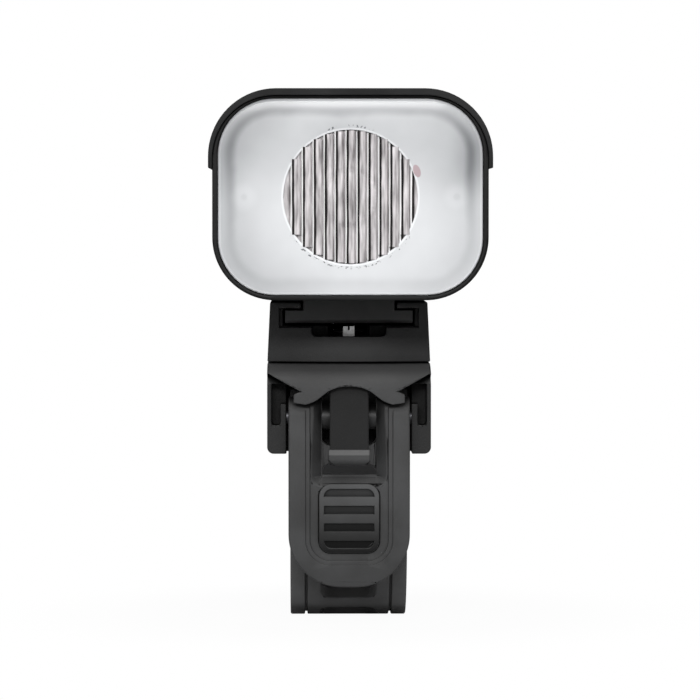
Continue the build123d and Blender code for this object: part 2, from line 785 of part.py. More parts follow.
# Cradle: turret top with a T-slot for the rail, a notch in front and a well for the detent spring
with BuildPart() as cradle:
    with BuildSketch(Plane.XY.offset(cradle_bottom)):
        turret_outline()
    extrude(amount=cradle_top - cradle_bottom, taper=cradle_draft)
    # T-slot, open to the front
    slot_front = turret_reach + overrun
    with BuildSketch(Plane.XY.offset(channel_floor)):
        with Locations((0, (channel_rear - slot_front) / 2)):
            Rectangle(2 * channel_half_width, channel_rear + slot_front)
    extrude(amount=lip_bottom - channel_floor, mode=Mode.SUBTRACT)
    with BuildSketch(Plane.XY.offset(lip_bottom)):
        with Locations((0, (channel_rear - slot_front) / 2)):
            Rectangle(2 * lip_half_gap, channel_rear + slot_front)
    extrude(amount=cradle_top - lip_bottom, mode=Mode.SUBTRACT)
    mouth_rear = mouth_depth - turret_reach
    with BuildSketch(Plane.XY.offset(channel_floor - mouth_drop)):
        with Locations((0, (mouth_rear - slot_front) / 2)):
            Rectangle(2 * (channel_half_width + mouth_side_gap), mouth_rear + slot_front)
    extrude(amount=lip_bottom - channel_floor + mouth_drop, mode=Mode.SUBTRACT)
    # Notch in the front lip
    with BuildSketch(across(-turret_reach + notch_depth)) as notch:
        with Locations((0, (notch_floor + cradle_top) / 2)):
            Rectangle(2 * notch_half_width, cradle_top - notch_floor)
        fillet(notch.vertices().group_by(Axis.Y)[0], radius=notch_corner)
    extrude(amount=notch_depth + overrun, mode=Mode.SUBTRACT)
    # Well under the rail for the leaf spring, and the slot for the release tab behind it
    with BuildSketch(Plane.XY.offset(notch_floor)):
        with Locations((0, (channel_rear - turret_reach + notch_depth) / 2)):
            Rectangle(2 * well_half_width, channel_rear + turret_reach - notch_depth)
    extrude(amount=cradle_top - notch_floor, mode=Mode.SUBTRACT)
    with BuildSketch(Plane.XY.offset(notch_floor)):
        with Locations((0, (channel_rear + slot_front) / 2)):
            Rectangle(tab_width + 2 * slip_gap, slot_front - channel_rear)
    extrude(amount=cradle_top - notch_floor, mode=Mode.SUBTRACT)
    # Seat and bore of the swivel screw
    with BuildSketch(Plane.XY.offset(screw_head_seat)):
        Circle(screw_head_radius + slip_gap)
    extrude(amount=cradle_top - screw_head_seat, mode=Mode.SUBTRACT)
    with BuildSketch(Plane.XY.offset(cradle_bottom)):
        Circle(screw_radius + pin_gap)
    extrude(amount=cradle_top - cradle_bottom, mode=Mode.SUBTRACT)
finish(cradle.part, "cradle")

# Detent spring: a bent leaf in the well, with a bump that holds the rail
leaf_low = notch_floor + spring_thickness / 2
with BuildPart() as detent_spring:
    with BuildSketch(Plane.YZ):
        with BuildLine():
            Polyline(
                (spring_front, leaf_low), (-turret_reach + notch_depth + bump_length, leaf_low),
                (-turret_reach + notch_depth + 2 * bump_length - bump_rise, spring_level + spring_thickness / 2),
                (bump_place - bump_length, spring_level + spring_thickness / 2),
                (bump_place - bump_length / 4, spring_level + bump_rise),
                (bump_place + bump_length / 4, spring_level + bump_rise),
                (bump_place + bump_length, spring_level + spring_thickness / 2),
                (spring_rear, spring_level + spring_thickness / 2))
        trace(line_width=spring_thickness)
    extrude(amount=spring_width / 2, both=True)
    # Its front arm is narrow
    with BuildSketch(Plane.XY.offset(notch_floor)):
        with Locations(
                (-(spring_width + spring_tip_width) / 2, spring_front), ((spring_width + spring_tip_width) / 2, spring_front)):
            Rectangle(spring_width, 2 * (bump_place - bump_length - spring_front))
    extrude(amount=bump_rise, mode=Mode.SUBTRACT)
    # Narrow end, turned up in the notch and slit down its middle
    with BuildSketch(across(spring_front + spring_thickness / 2)):
        with Locations((0, (notch_floor + spring_tip_top) / 2)):
            Rectangle(spring_tip_width, spring_tip_top - notch_floor)
        with Locations((0, spring_tip_top)):
            Rectangle(spring_slit, spring_tip_top - notch_floor - spring_thickness, mode=Mode.SUBTRACT)
    extrude(amount=spring_thickness)
finish(detent_spring.part, "detent_spring")

# Release tab: pressed with a thumb, it pushes the spring's rear end down
tab_foot = spring_level + spring_thickness + slip_gap
with BuildPart() as release_tab:
    with BuildSketch(Plane.YZ):
        with BuildLine():
            Polyline(
                (tab_front, tab_foot), (spring_rear + slip_gap, tab_foot),
                (turret_reach + slip_gap, tab_foot + tab_travel), (tab_rear, tab_top - tab_ledge - slip_gap),
                (tab_rear, tab_top - slip_gap), (tab_front, tab_top - slip_gap), close=True)
        make_face()
    extrude(amount=tab_width / 2, both=True)
    fillet(release_tab.edges().filter_by(Axis.Z).group_by(Axis.Y)[-1], radius=tab_ledge)
finish(release_tab.part, "release_tab")


def housing_section(inset):
    """Cross-section of the housing, drawn in by the given wall."""
    with Locations((0, housing_centre)):
        RectangleRounded(housing_width - 2 * inset, housing_height - 2 * inset, housing_corner - inset)


def lens_section(inset):
    """Front view of the lens, drawn in by the given width."""
    with Locations((0, lens_height_centre)):
        RectangleRounded(lens_width - 2 * inset, lens_height - 2 * inset, lens_corner - inset)


def bar_between(section, inset, front, rear):
    """A straight bar of one of the sections, from a front to a rear place along the beam."""
    with BuildPart() as bar:
        with BuildSketch(across(rear)):
            section(inset)
        extrude(amount=rear - front)
    return bar.part


cap_screw_points = [
    (side * (housing_width / 2 - cap_screw_inset), housing_centre + level * (housing_height / 2 - cap_screw_inset))
    for side in (-1, 1) for level in (-1, 1)]
shell_front = housing_front + bezel_depth

# Rail: a T-shaped foot under the housing
bump_front = bump_place - bump_length - slip_gap
bump_rear = bump_place + bump_length + slip_gap
with BuildPart() as rail_foot:
    with BuildSketch(Plane.XY.offset(foot_bottom)):
        with Locations((0, (foot_front + foot_rear) / 2)):
            Rectangle(foot_width, foot_rear - foot_front)
    extrude(amount=foot_top - foot_bottom)
    chamfer(rail_foot.edges().group_by(Axis.Z)[0].group_by(Axis.Y)[0], length=foot_chamfer)
    with BuildSketch(Plane.XY.offset(foot_top)):
        with Locations((0, (foot_front + foot_rear) / 2)):
            Rectangle(neck_width, foot_rear - foot_front)
    extrude(amount=housing_bottom - foot_top)
    # Pocket that the detent spring's bump rises into
    with BuildSketch(Plane.XY.offset(foot_bottom)):
        with Locations((0, (bump_front + bump_rear) / 2)):
            Rectangle(spring_width + 2 * slip_gap, bump_rear - bump_front)
    extrude(amount=bump_pocket_depth, mode=Mode.SUBTRACT)
    with BuildSketch(Plane.XY.offset(foot_bottom)):
        with Locations(*[(0, place) for place in rail_screw_places]):
            Circle(rail_screw_head_radius)
    extrude(amount=rail_screw_head_height, mode=Mode.SUBTRACT)
    with BuildSketch(Plane.XY.offset(foot_bottom)):
        with Locations(*[(0, place) for place in rail_screw_places]):
            Circle(rail_screw_radius)
    extrude(amount=housing_bottom - foot_bottom, mode=Mode.SUBTRACT)
finish(rail_foot.part, "rail_foot")

with BuildPart() as rail_screws:
    with BuildSketch(Plane.XY.offset(foot_bottom)):
        with Locations(*[(0, place) for place in rail_screw_places]):
            Circle(rail_screw_head_radius)
    extrude(amount=rail_screw_head_height)
    with BuildSketch(Plane.XY.offset(foot_bottom)):
        with Locations(*[(0, place) for place in rail_screw_places]):
            Circle(rail_screw_radius)
    extrude(amount=inner_floor - foot_bottom)
    with BuildSketch(Plane.XY.offset(foot_bottom)):
        with Locations(*[(0, place) for place in rail_screw_places]):
            RegularPolygon(rail_screw_radius, 6)
    extrude(amount=rail_screw_head_height / 2, mode=Mode.SUBTRACT)
finish(rail_screws.part, "rail_screws")

# Lower shell: the part of the housing below the hood, with bosses for the rear cap's screws
with BuildPart() as lower_shell:
    add(bar_between(housing_section, 0, shell_front, housing_rear))
    add(bar_between(housing_section, housing_wall, shell_front, housing_rear), mode=Mode.SUBTRACT)
    with BuildSketch(across(housing_rear)):
        with Locations(*[point for point in cap_screw_points if point[1] < hood_split]):
            Circle(cap_boss_radius)
    extrude(amount=cap_boss_length)
    with BuildSketch(across(housing_rear)):
        with Locations(*cap_screw_points):
            Circle(cap_screw_radius)
    extrude(amount=cap_boss_length, mode=Mode.SUBTRACT)
    with BuildSketch(Plane.XY.offset(hood_split)):
        Rectangle(2 * housing_width, 4 * housing_rear)
    extrude(amount=housing_height, mode=Mode.SUBTRACT)
    with BuildSketch(Plane.XY.offset(housing_bottom)):
        with Locations(*[(0, place) for place in rail_screw_places]):
            Circle(rail_screw_radius)
    extrude(amount=housing_wall, mode=Mode.SUBTRACT)
finish(lower_shell.part, "lower_shell")

# Hood: the upper shell, which stands out over the sides and the lens
with BuildPart() as hood:
    with BuildSketch(across(housing_rear)):
        with Locations((0, housing_centre)):
            RectangleRounded(housing_width + 2 * hood_side, 2 * (hood_top - housing_centre), hood_corner)
    extrude(amount=housing_rear - hood_front)
    add(bar_between(housing_section, housing_wall, shell_front, housing_rear), mode=Mode.SUBTRACT)
    add(bar_between(housing_section, 0, hood_front, shell_front), mode=Mode.SUBTRACT)
    with BuildSketch(across(housing_rear)):
        with Locations(*[point for point in cap_screw_points if point[1] > hood_split]):
            Circle(cap_boss_radius)
    extrude(amount=cap_boss_length)
    with BuildSketch(across(housing_rear)):
        with Locations(*cap_screw_points):
            Circle(cap_screw_radius)
    extrude(amount=cap_boss_length, mode=Mode.SUBTRACT)
    with BuildSketch(Plane.XY.offset(hood_split)):
        Rectangle(2 * housing_width, 4 * housing_rear)
    extrude(amount=-housing_height, mode=Mode.SUBTRACT)
    # Hole for the power button
    with BuildSketch(Plane.XY.offset(housing_centre)):
        with Locations((0, button_place)):
            Circle(button_radius + slip_gap)
    extrude(amount=housing_height, mode=Mode.SUBTRACT)
finish(hood.part, "hood")

# Bezel: the frame that holds the lens, with a ledge behind it
with BuildPart() as front_bezel:
    add(bar_between(housing_section, 0, housing_front, shell_front))
    add(bar_between(lens_section, -seat_gap, housing_front, seal_rear), mode=Mode.SUBTRACT)
    add(bar_between(lens_section, bezel_ledge, seal_rear, shell_front), mode=Mode.SUBTRACT)
finish(front_bezel.part, "front_bezel")

# Lens: a frosted plate with a round field of upright flutes in its middle
flute_count = int(2 * flute_area_radius / flute_pitch)
with BuildPart() as flutes:
    with BuildSketch(Plane.XY.offset(lens_height_centre - flute_area_radius)):
        with Locations((0, lens_front + flute_radius)):
            with GridLocations(flute_pitch, 0, flute_count, 1):
                Circle(flute_radius)
    extrude(amount=2 * flute_area_radius)
    with BuildSketch(across(lens_rear)):
        with Locations((0, lens_height_centre)):
            Circle(flute_area_radius)
    extrude(amount=lens_thickness, mode=Mode.INTERSECT)

with BuildPart() as front_lens:
    add(bar_between(lens_section, 0, lens_front, lens_rear))
    with BuildSketch(across(lens_front + flute_recess)):
        with Locations((0, lens_height_centre)):
            Circle(flute_area_radius)
    extrude(amount=flute_recess, mode=Mode.SUBTRACT)
    add(flutes.part)
finish(front_lens.part, "front_lens")

with BuildPart() as lens_seal:
    add(bar_between(lens_section, 0, lens_rear, seal_rear))
    add(bar_between(lens_section, seal_inset + seal_thickness, lens_rear, seal_rear), mode=Mode.SUBTRACT)
finish(lens_seal.part, "lens_seal")

# Reflector tray: white pan behind the lens, with a shelf round its edge and two screw bosses
tray_inset = bezel_ledge + seat_gap
with BuildPart() as reflector_tray:
    add(bar_between(lens_section, tray_inset, seal_rear, tray_rear))
    add(bar_between(lens_section, tray_inset + tray_wall, seal_rear, seal_rear + tray_wall), mode=Mode.SUBTRACT)
    add(bar_between(lens_section, tray_inset + tray_shelf, seal_rear + tray_wall, tray_rear - tray_wall),
        mode=Mode.SUBTRACT)
    with BuildSketch(across(tray_rear)):
        with Locations((-boss_offset, lens_height_centre), (boss_offset, lens_height_centre)):
            Circle(boss_radius)
    extrude(amount=tray_depth - tray_wall)
    with BuildSketch(across(seal_rear + tray_wall + boss_hole_depth)):
        with Locations((-boss_offset, lens_height_centre), (boss_offset, lens_height_centre)):
            Circle(boss_hole_radius)
    extrude(amount=boss_hole_depth, mode=Mode.SUBTRACT)
    with BuildSketch(across(tray_rear)):
        with Locations((0, lens_height_centre)):
            Circle(tray_hole_radius)
    extrude(amount=tray_depth, mode=Mode.SUBTRACT)
finish(reflector_tray.part, "reflector_tray")

# Collimator: a clear cone round the lamp chip, turned about the beam
beam_axis = Axis((0, 0, lens_height_centre), (0, 1, 0))
collimator_front = tray_rear - collimator_depth
with BuildPart() as collimator:
    with BuildSketch(Plane.YZ):
        with BuildLine():
            Polyline(
                (tray_rear, lens_height_centre + collimator_rear_radius),
                (tray_rear, lens_height_centre + collimator_well_radius),
                (tray_rear - collimator_well_depth, lens_height_centre + collimator_well_radius),
                (tray_rear - collimator_well_depth, lens_height_centre),
                (collimator_front, lens_height_centre),
                (collimator_front, lens_height_centre + collimator_radius),
                (collimator_front + collimator_rim, lens_height_centre + collimator_radius))
            ThreePointArc(
                (collimator_front + collimator_rim, lens_height_centre + collimator_radius),
                ((collimator_front + tray_rear) / 2,
                 lens_height_centre + (collimator_radius + collimator_rear_radius + collimator_rim) / 2),
                (tray_rear, lens_height_centre + collimator_rear_radius))
        make_face()
    revolve(axis=beam_axis)
finish(collimator.part, "collimator")

with BuildPart() as led_chip:
    with BuildSketch(across(led_board_front)):
        with Locations((0, lens_height_centre)):
            Rectangle(led_size, led_size)
    extrude(amount=led_height)
    with BuildSketch(Plane.YZ):
        with BuildLine():
            dome_base = led_board_front - led_height
            CenterArc((dome_base, lens_height_centre), led_dome_radius, 90, 90)
            Polyline(
                (dome_base - led_dome_radius, lens_height_centre), (dome_base, lens_height_centre),
                (dome_base, lens_height_centre + led_dome_radius))
        make_face()
    revolve(axis=beam_axis)
finish(led_chip.part, "led_chip")

with BuildPart() as led_board:
    with BuildSketch(across(sink_front)):
        with Locations((0, lens_height_centre)):
            RectangleRounded(led_board_size, led_board_size, led_board_thickness)
    extrude(amount=led_board_thickness)
finish(led_board.part, "led_board")

# Heat sink: a plate that fills the housing, with upright fins behind it
with BuildPart() as heat_sink:
    add(bar_between(housing_section, housing_wall + seat_gap, sink_front, sink_rear))
    fin_gap = (inner_width - 2 * seat_gap - fin_count * fin_thickness) / (fin_count - 1)
    with BuildSketch(across(sink_rear)):
        with Locations((0, housing_centre)):
            with GridLocations(fin_gap + fin_thickness, 0, fin_count - 1, 1):
                Rectangle(fin_gap, housing_height)
    extrude(amount=sink_depth, mode=Mode.SUBTRACT)
finish(heat_sink.part, "heat_sink")

# Battery: two round cells side by side, in a plastic holder with end plates and side walls
with BuildPart() as battery_cells:
    for side in (-1, 1):
        with BuildSketch(across(cell_rear)):
            with Locations((side * cell_offset, cell_height)):
                Circle(cell_radius)
        extrude(amount=cell_length)
    fillet(battery_cells.edges().filter_by(GeomType.CIRCLE), radius=cell_round)
    with BuildSketch(across(cell_front)):
        with Locations((-cell_offset, cell_height), (cell_offset, cell_height)):
            Circle(cell_nub_radius)
    extrude(amount=cell_nub_height)
finish(battery_cells.part, "battery_cells")

holder_front = cell_front - cell_nub_height - holder_end
holder_rear = cell_rear + holder_end
with BuildPart() as battery_holder:
    with BuildSketch(across(holder_rear)):
        with Locations((0, (inner_floor + driver_bottom) / 2)):
            Rectangle(2 * holder_half, driver_bottom - inner_floor)
    extrude(amount=holder_rear - holder_front)
    add(bar_between(housing_section, housing_wall + seat_gap, holder_front, holder_rear), mode=Mode.INTERSECT)
    # Room for the cells, open at the top
    with BuildSketch(across(cell_rear)):
        with Locations((-cell_offset, cell_height), (cell_offset, cell_height)):
            Circle(cell_radius + seat_gap)
        with Locations((0, cell_height + cell_radius)):
            Rectangle(2 * (cell_offset + cell_radius + seat_gap), 2 * cell_radius)
    extrude(amount=cell_length + cell_nub_height, mode=Mode.SUBTRACT)
    # End plates stop at the cells' middle
    with BuildSketch(across(holder_rear)):
        with Locations((0, cell_height + cell_nub_radius + cell_radius)):
            Rectangle(2 * (holder_half - holder_wall), 2 * cell_radius)
    extrude(amount=holder_rear - holder_front, mode=Mode.SUBTRACT)
finish(battery_holder.part, "battery_holder")

# Driver board with its choke, the button's switch and the charging socket
with BuildPart() as driver_board:
    with BuildSketch(Plane.XY.offset(driver_bottom)):
        with Locations((0, driver_rear - driver_length / 2)):
            Rectangle(driver_width, driver_length)
    extrude(amount=driver_thickness)
    with BuildSketch(Plane.XY.offset(driver_top)):
        with Locations((0, choke_place)):
            RectangleRounded(choke_size, choke_size, choke_size / 6)
    extrude(amount=choke_height)
finish(driver_board.part, "driver_board")

with BuildPart() as button_switch:
    with BuildSketch(Plane.XY.offset(driver_top)):
        with Locations((0, button_place)):
            Rectangle(switch_size, switch_size)
    extrude(amount=switch_height)
    with BuildSketch(Plane.XY.offset(driver_top + switch_height)):
        with Locations((0, button_place)):
            Circle(switch_nub_radius)
    extrude(amount=switch_nub_height)
finish(button_switch.part, "button_switch")

with BuildPart() as charging_socket:
    with BuildSketch(across(socket_rear)):
        with Locations((0, socket_centre)):
            SlotOverall(socket_width, socket_height)
            SlotOverall(socket_width - 2 * socket_wall, socket_height - 2 * socket_wall, mode=Mode.SUBTRACT)
    extrude(amount=socket_depth)
    with BuildSketch(across(socket_rear - socket_depth + socket_wall)):
        with Locations((0, socket_centre)):
            SlotOverall(socket_width, socket_height)
    extrude(amount=socket_wall)
    with BuildSketch(across(socket_rear - socket_wall)):
        with Locations((0, socket_centre)):
            Rectangle(socket_width - socket_height, socket_tongue)
    extrude(amount=socket_depth - socket_wall)
finish(charging_socket.part, "charging_socket")

# Power button: a round cap with a flange under the hood and a stem over the switch
button_top = hood_top + button_stand
with BuildPart() as power_button:
    with BuildSketch(Plane.XY.offset(flange_top - button_flange_thickness)):
        with Locations((0, button_place)):
            Circle(button_radius)
    extrude(amount=button_top - flange_top + button_flange_thickness)
    fillet(power_button.edges().group_by(Axis.Z)[-1], radius=button_round)
    with BuildSketch(Plane.XY.offset(flange_top - button_flange_thickness)):
        with Locations((0, button_place)):
            Circle(button_radius + button_flange)
    extrude(amount=button_flange_thickness)
    with BuildSketch(Plane.XY.offset(stem_bottom)):
        with Locations((0, button_place)):
            Circle(switch_nub_radius)
    extrude(amount=flange_top - button_flange_thickness - stem_bottom)
finish(power_button.part, "power_button")

# Rear cap with its seal, screws and the charging port's opening
port_width = socket_width + 2 * cap_port_gap
port_height = socket_height + 2 * cap_port_gap
with BuildPart() as rear_seal:
    add(bar_between(housing_section, seal_inset, housing_rear, cap_front))
    add(bar_between(housing_section, housing_wall - seal_inset, housing_rear, cap_front), mode=Mode.SUBTRACT)
finish(rear_seal.part, "rear_seal")

with BuildPart() as rear_cap:
    add(bar_between(housing_section, 0, cap_front, cap_rear))
    fillet(rear_cap.edges().group_by(Axis.Y)[-1], radius=cap_round)
    with BuildSketch(across(cap_rear)):
        with Locations((0, socket_centre)):
            SlotOverall(port_width, port_height)
    extrude(amount=cap_depth, mode=Mode.SUBTRACT)
    with BuildSketch(across(cap_rear)):
        with Locations(*cap_screw_points):
            Circle(cap_screw_head_radius + seat_gap)
    extrude(amount=cap_screw_head_height, mode=Mode.SUBTRACT)
    with BuildSketch(across(cap_rear)):
        with Locations(*cap_screw_points):
            Circle(cap_screw_radius + seat_gap)
    extrude(amount=cap_depth, mode=Mode.SUBTRACT)
finish(rear_cap.part, "rear_cap")

with BuildPart() as cap_screws:
    with BuildSketch(across(cap_rear)):
        with Locations(*cap_screw_points):
            Circle(cap_screw_head_radius)
    extrude(amount=cap_screw_head_height)
    with BuildSketch(across(cap_rear)):
        with Locations(*cap_screw_points):
            Circle(cap_screw_radius)
    extrude(amount=cap_screw_length)
    with BuildSketch(across(cap_rear)):
        with Locations(*cap_screw_points):
            RegularPolygon(cap_screw_radius, 6)
    extrude(amount=cap_screw_head_height / 2, mode=Mode.SUBTRACT)
finish(cap_screws.part, "cap_screws")

# Port cover: a rubber flap over the charging port, with a plug and a knuckle at its lower edge
knuckle_height = socket_centre - cover_height / 2
knuckle_depth = cap_rear + knuckle_radius + seat_gap
with BuildPart() as port_cover:
    with BuildSketch(across(cap_rear + seat_gap + cover_thickness)):
        with Locations((0, socket_centre)):
            RectangleRounded(cover_width, cover_height, cover_corner)
    extrude(amount=cover_thickness)
    with BuildSketch(across(cap_rear + seat_gap)):
        with Locations((0, socket_centre)):
            Rectangle(port_width - port_height, port_height - 2 * cap_port_gap - cover_thickness / 2)
    extrude(amount=cover_plug_depth)
    with BuildSketch(Plane.YZ):
        with Locations((knuckle_depth, knuckle_height)):
            Circle(knuckle_radius)
    extrude(amount=knuckle_width / 2, both=True)
finish(port_cover.part, "port_cover")
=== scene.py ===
# %% [markdown]
# # A bicycle headlight on its strap mount
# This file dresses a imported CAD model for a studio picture. The CAD model gives every size, so
# nothing here changes a shape's place: we soften edges, swap in finer meshes where the real part
# has more detail, and give every surface a procedural finish. Blender's unit is the metre, so a
# length that is written in millimetres is multiplied by `MM`.

# %% Load the CAD frame
import json
from math import cos, pi, radians, sin

import bmesh
import bpy
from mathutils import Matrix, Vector
from mathutils.bvhtree import BVHTree
from mathutils.geometry import intersect_point_line

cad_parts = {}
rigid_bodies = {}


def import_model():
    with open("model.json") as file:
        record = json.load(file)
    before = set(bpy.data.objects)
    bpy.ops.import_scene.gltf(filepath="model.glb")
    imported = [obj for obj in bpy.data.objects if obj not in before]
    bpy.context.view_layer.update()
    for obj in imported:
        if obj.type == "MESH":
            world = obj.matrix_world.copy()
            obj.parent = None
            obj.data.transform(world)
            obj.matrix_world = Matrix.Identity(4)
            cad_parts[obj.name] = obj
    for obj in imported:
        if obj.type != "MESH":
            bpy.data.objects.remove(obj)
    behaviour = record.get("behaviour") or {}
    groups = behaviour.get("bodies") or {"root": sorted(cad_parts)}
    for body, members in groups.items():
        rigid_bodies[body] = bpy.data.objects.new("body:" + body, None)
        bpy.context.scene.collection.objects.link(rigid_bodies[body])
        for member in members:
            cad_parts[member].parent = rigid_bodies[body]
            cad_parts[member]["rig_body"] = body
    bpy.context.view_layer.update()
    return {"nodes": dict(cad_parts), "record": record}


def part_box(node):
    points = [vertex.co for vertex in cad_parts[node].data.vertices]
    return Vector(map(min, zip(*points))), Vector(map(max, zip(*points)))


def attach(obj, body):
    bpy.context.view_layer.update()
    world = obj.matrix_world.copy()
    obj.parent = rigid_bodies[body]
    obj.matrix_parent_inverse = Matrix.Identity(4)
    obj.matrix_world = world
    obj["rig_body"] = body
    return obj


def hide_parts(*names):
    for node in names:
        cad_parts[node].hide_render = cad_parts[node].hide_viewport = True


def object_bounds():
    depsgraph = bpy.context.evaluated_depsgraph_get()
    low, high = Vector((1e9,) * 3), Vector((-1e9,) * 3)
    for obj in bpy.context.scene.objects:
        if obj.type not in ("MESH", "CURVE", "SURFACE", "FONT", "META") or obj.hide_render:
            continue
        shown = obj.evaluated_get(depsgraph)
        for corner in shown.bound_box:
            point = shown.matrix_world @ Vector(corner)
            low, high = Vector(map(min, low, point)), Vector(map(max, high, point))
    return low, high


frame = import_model()
nodes = frame["nodes"]
slot_of = {part["node"]: part["material_slot"] for part in frame["record"]["subparts"]}
scene = bpy.context.scene
MM = 0.001
print("loaded", len(nodes), "nodes with", len(set(slot_of.values())), "material slots")

# %% [markdown]
# ## Camera
# The photograph was taken almost straight from the front, from about 0.7 m, a touch above the
# light's middle. From there the lens, which is nearer, looks about 7 percent larger than it would
# at the handlebar. A camera without perspective would lose that, so this one stands at the real
# distance and has the long focal length that fills its view with the light.

# %% Place the camera
aim = Vector((0.4, 0, 27.5)) * MM
distance = 700 * MM
azimuth, elevation = radians(0.6), radians(1.8)
frame_width = 121.5 * MM
sensor_width = 36
camera_data = bpy.data.cameras.new("camera")
camera_data.sensor_width = sensor_width
camera_data.lens = sensor_width * distance / frame_width
camera_data.clip_start = 0.01
camera = bpy.data.objects.new("camera", camera_data)
scene.collection.objects.link(camera)
camera.location = aim + distance * Vector(
    (-sin(azimuth) * cos(elevation), -cos(azimuth) * cos(elevation), sin(elevation)))
camera.rotation_euler = (aim - camera.location).to_track_quat("-Z", "Y").to_euler()
scene.camera = camera
scene.view_settings.view_transform = "Standard"
print("lens", round(camera_data.lens, 1), "mm")

# %% [markdown]
# ## Shader maths as plain expressions
# A node tree is easier to read as a formula. `Wire` holds one output socket, and its operators add
# the Math nodes, so `1 - mask * 0.5` builds two nodes and returns the last one's output. `Finish`
# holds a material, and adds any other kind of node in one line.


# %% Wire and Finish
class Wire:
    """One output of a node tree, usable in sums and products."""

    def __init__(self, tree, socket):
        self.tree, self.socket = tree, socket

    def math(self, operation, *values):
        node = self.tree.nodes.new("ShaderNodeMath")
        node.operation = operation
        for number, value in enumerate(values):
            plug(self.tree, node.inputs[number], value)
        return Wire(self.tree, node.outputs[0])

    def __add__(self, other):
        return self.math("ADD", self, other)

    def __sub__(self, other):
        return self.math("SUBTRACT", self, other)

    def __rsub__(self, other):
        return self.math("SUBTRACT", other, self)

    def __mul__(self, other):
        return self.math("MULTIPLY", self, other)

    __radd__ = __add__
    __rmul__ = __mul__

    def smaller(self, other):
        return self.math("MINIMUM", self, other)

    def larger(self, other):
        return self.math("MAXIMUM", self, other)

    def size(self):
        return self.math("ABSOLUTE", self)

    def fraction(self):
        return self.math("FRACT", self)

    def root(self):
        return self.math("SQRT", self)

    def ramp(self, low, high, start=0.0, end=1.0):
        """Goes smoothly from start to end while this value goes from low to high."""
        node = self.tree.nodes.new("ShaderNodeMapRange")
        node.interpolation_type = "SMOOTHSTEP"
        for name, value in (("Value", self), ("From Min", low), ("From Max", high),
                            ("To Min", start), ("To Max", end)):
            plug(self.tree, node.inputs[name], value)
        return Wire(self.tree, node.outputs[0])


def plug(tree, socket, value):
    """Sets a socket, or links it where the value is a wire."""
    if isinstance(value, Wire):
        tree.links.new(value.socket, socket)
    else:
        socket.default_value = value


def add_node(tree, kind, settings, output, values):
    """Adds a node, fills in its settings and then its sockets, and returns one of its outputs."""
    node = tree.nodes.new(kind)
    for name, value in (settings or {}).items():
        setattr(node, name, value)
    for name, value in values.items():
        plug(tree, node.inputs[name.replace("_", " ")], value)
    return Wire(tree, node.outputs[output])


class Finish:
    """A new material: its Principled shader, and the nodes that feed it."""

    def __init__(self, name, **values):
        self.material = bpy.data.materials.new(name)
        self.material.use_nodes = True
        self.tree = self.material.node_tree
        self.shader = self.tree.nodes["Principled BSDF"]
        self.place = self.node("ShaderNodeTexCoord", output="Object")
        self.set(**values)

    def node(self, kind, settings=None, output=0, **values):
        return add_node(self.tree, kind, settings, output, values)

    def set(self, **values):
        for name, value in values.items():
            plug(self.tree, self.shader.inputs[name.replace("_", " ")], value)

    def noise(self, grain, detail=2.0, place=None):
        """Noise whose lumps are about the given number of millimetres across."""
        return self.node(
            "ShaderNodeTexNoise", Vector=place or self.place, Scale=1 / (grain * MM), Detail=detail)

    def mix(self, factor, low, high):
        """Colour between two colours. The node's colour sockets share names, so they go by number."""
        node = self.tree.nodes.new("ShaderNodeMix")
        node.data_type = "RGBA"
        color_low, color_high, color_out = node.inputs[6], node.inputs[7], node.outputs[2]
        plug(self.tree, node.inputs["Factor"], factor)
        plug(self.tree, color_low, low)
        plug(self.tree, color_high, high)
        return Wire(self.tree, color_out)

    def axis(self, letter):
        """One coordinate of the place, in millimetres."""
        return self.node("ShaderNodeSeparateXYZ", output=letter, Vector=self.place) * (1 / MM)

    def bump(self, height, depth):
        """Raises the surface by height times depth, in millimetres."""
        self.set(Normal=self.node("ShaderNodeBump", Height=height, Distance=depth * MM, Strength=1.0))


def grey(level, tint=(1.0, 1.0, 1.0)):
    """Linear colour for a grey that a screen shows at this level, from 0 to 255."""
    part = level / 255
    linear = part / 12.92 if part <= 0.04045 else ((part + 0.055) / 1.055) ** 2.4
    return (linear * tint[0], linear * tint[1], linear * tint[2], 1.0)


print("a middle grey of 128 is", round(grey(128)[0], 3), "in linear light")

# %% [markdown]
# ## Finishes of the dark parts
# Almost everything here is black, so the parts differ by tone, sheen and texture. The base and
# cradle are spark-eroded nylon with a fine speckle. The lever, grip and strap are smooth rubber, a
# little lighter. The shell is a dull satin, and the frame round the lens is the darkest part.
# One recipe serves them all, and the table under it gives each finish its numbers. Faces that look up get
# painted top light, and crevices get painted shade from an Ambient Occlusion node. In the base, the catch and
# the grip, faces that look forward also get painted shade where they lie behind the part's front. With lamps
# alone those places came out lighter than they are in the photograph. The power button has the grip's rubber
# too, and shows its top, which this leaves alone.


# %% Dark finishes
# Slow changes in tone are 9 mm across and 7 levels either way; painted shade leaves a crevice a fifth of its
# level
slow_grain, tone_spread, crevice_share = 9.0, 7, 0.2
beyond_the_back = (200.0, 300.0)


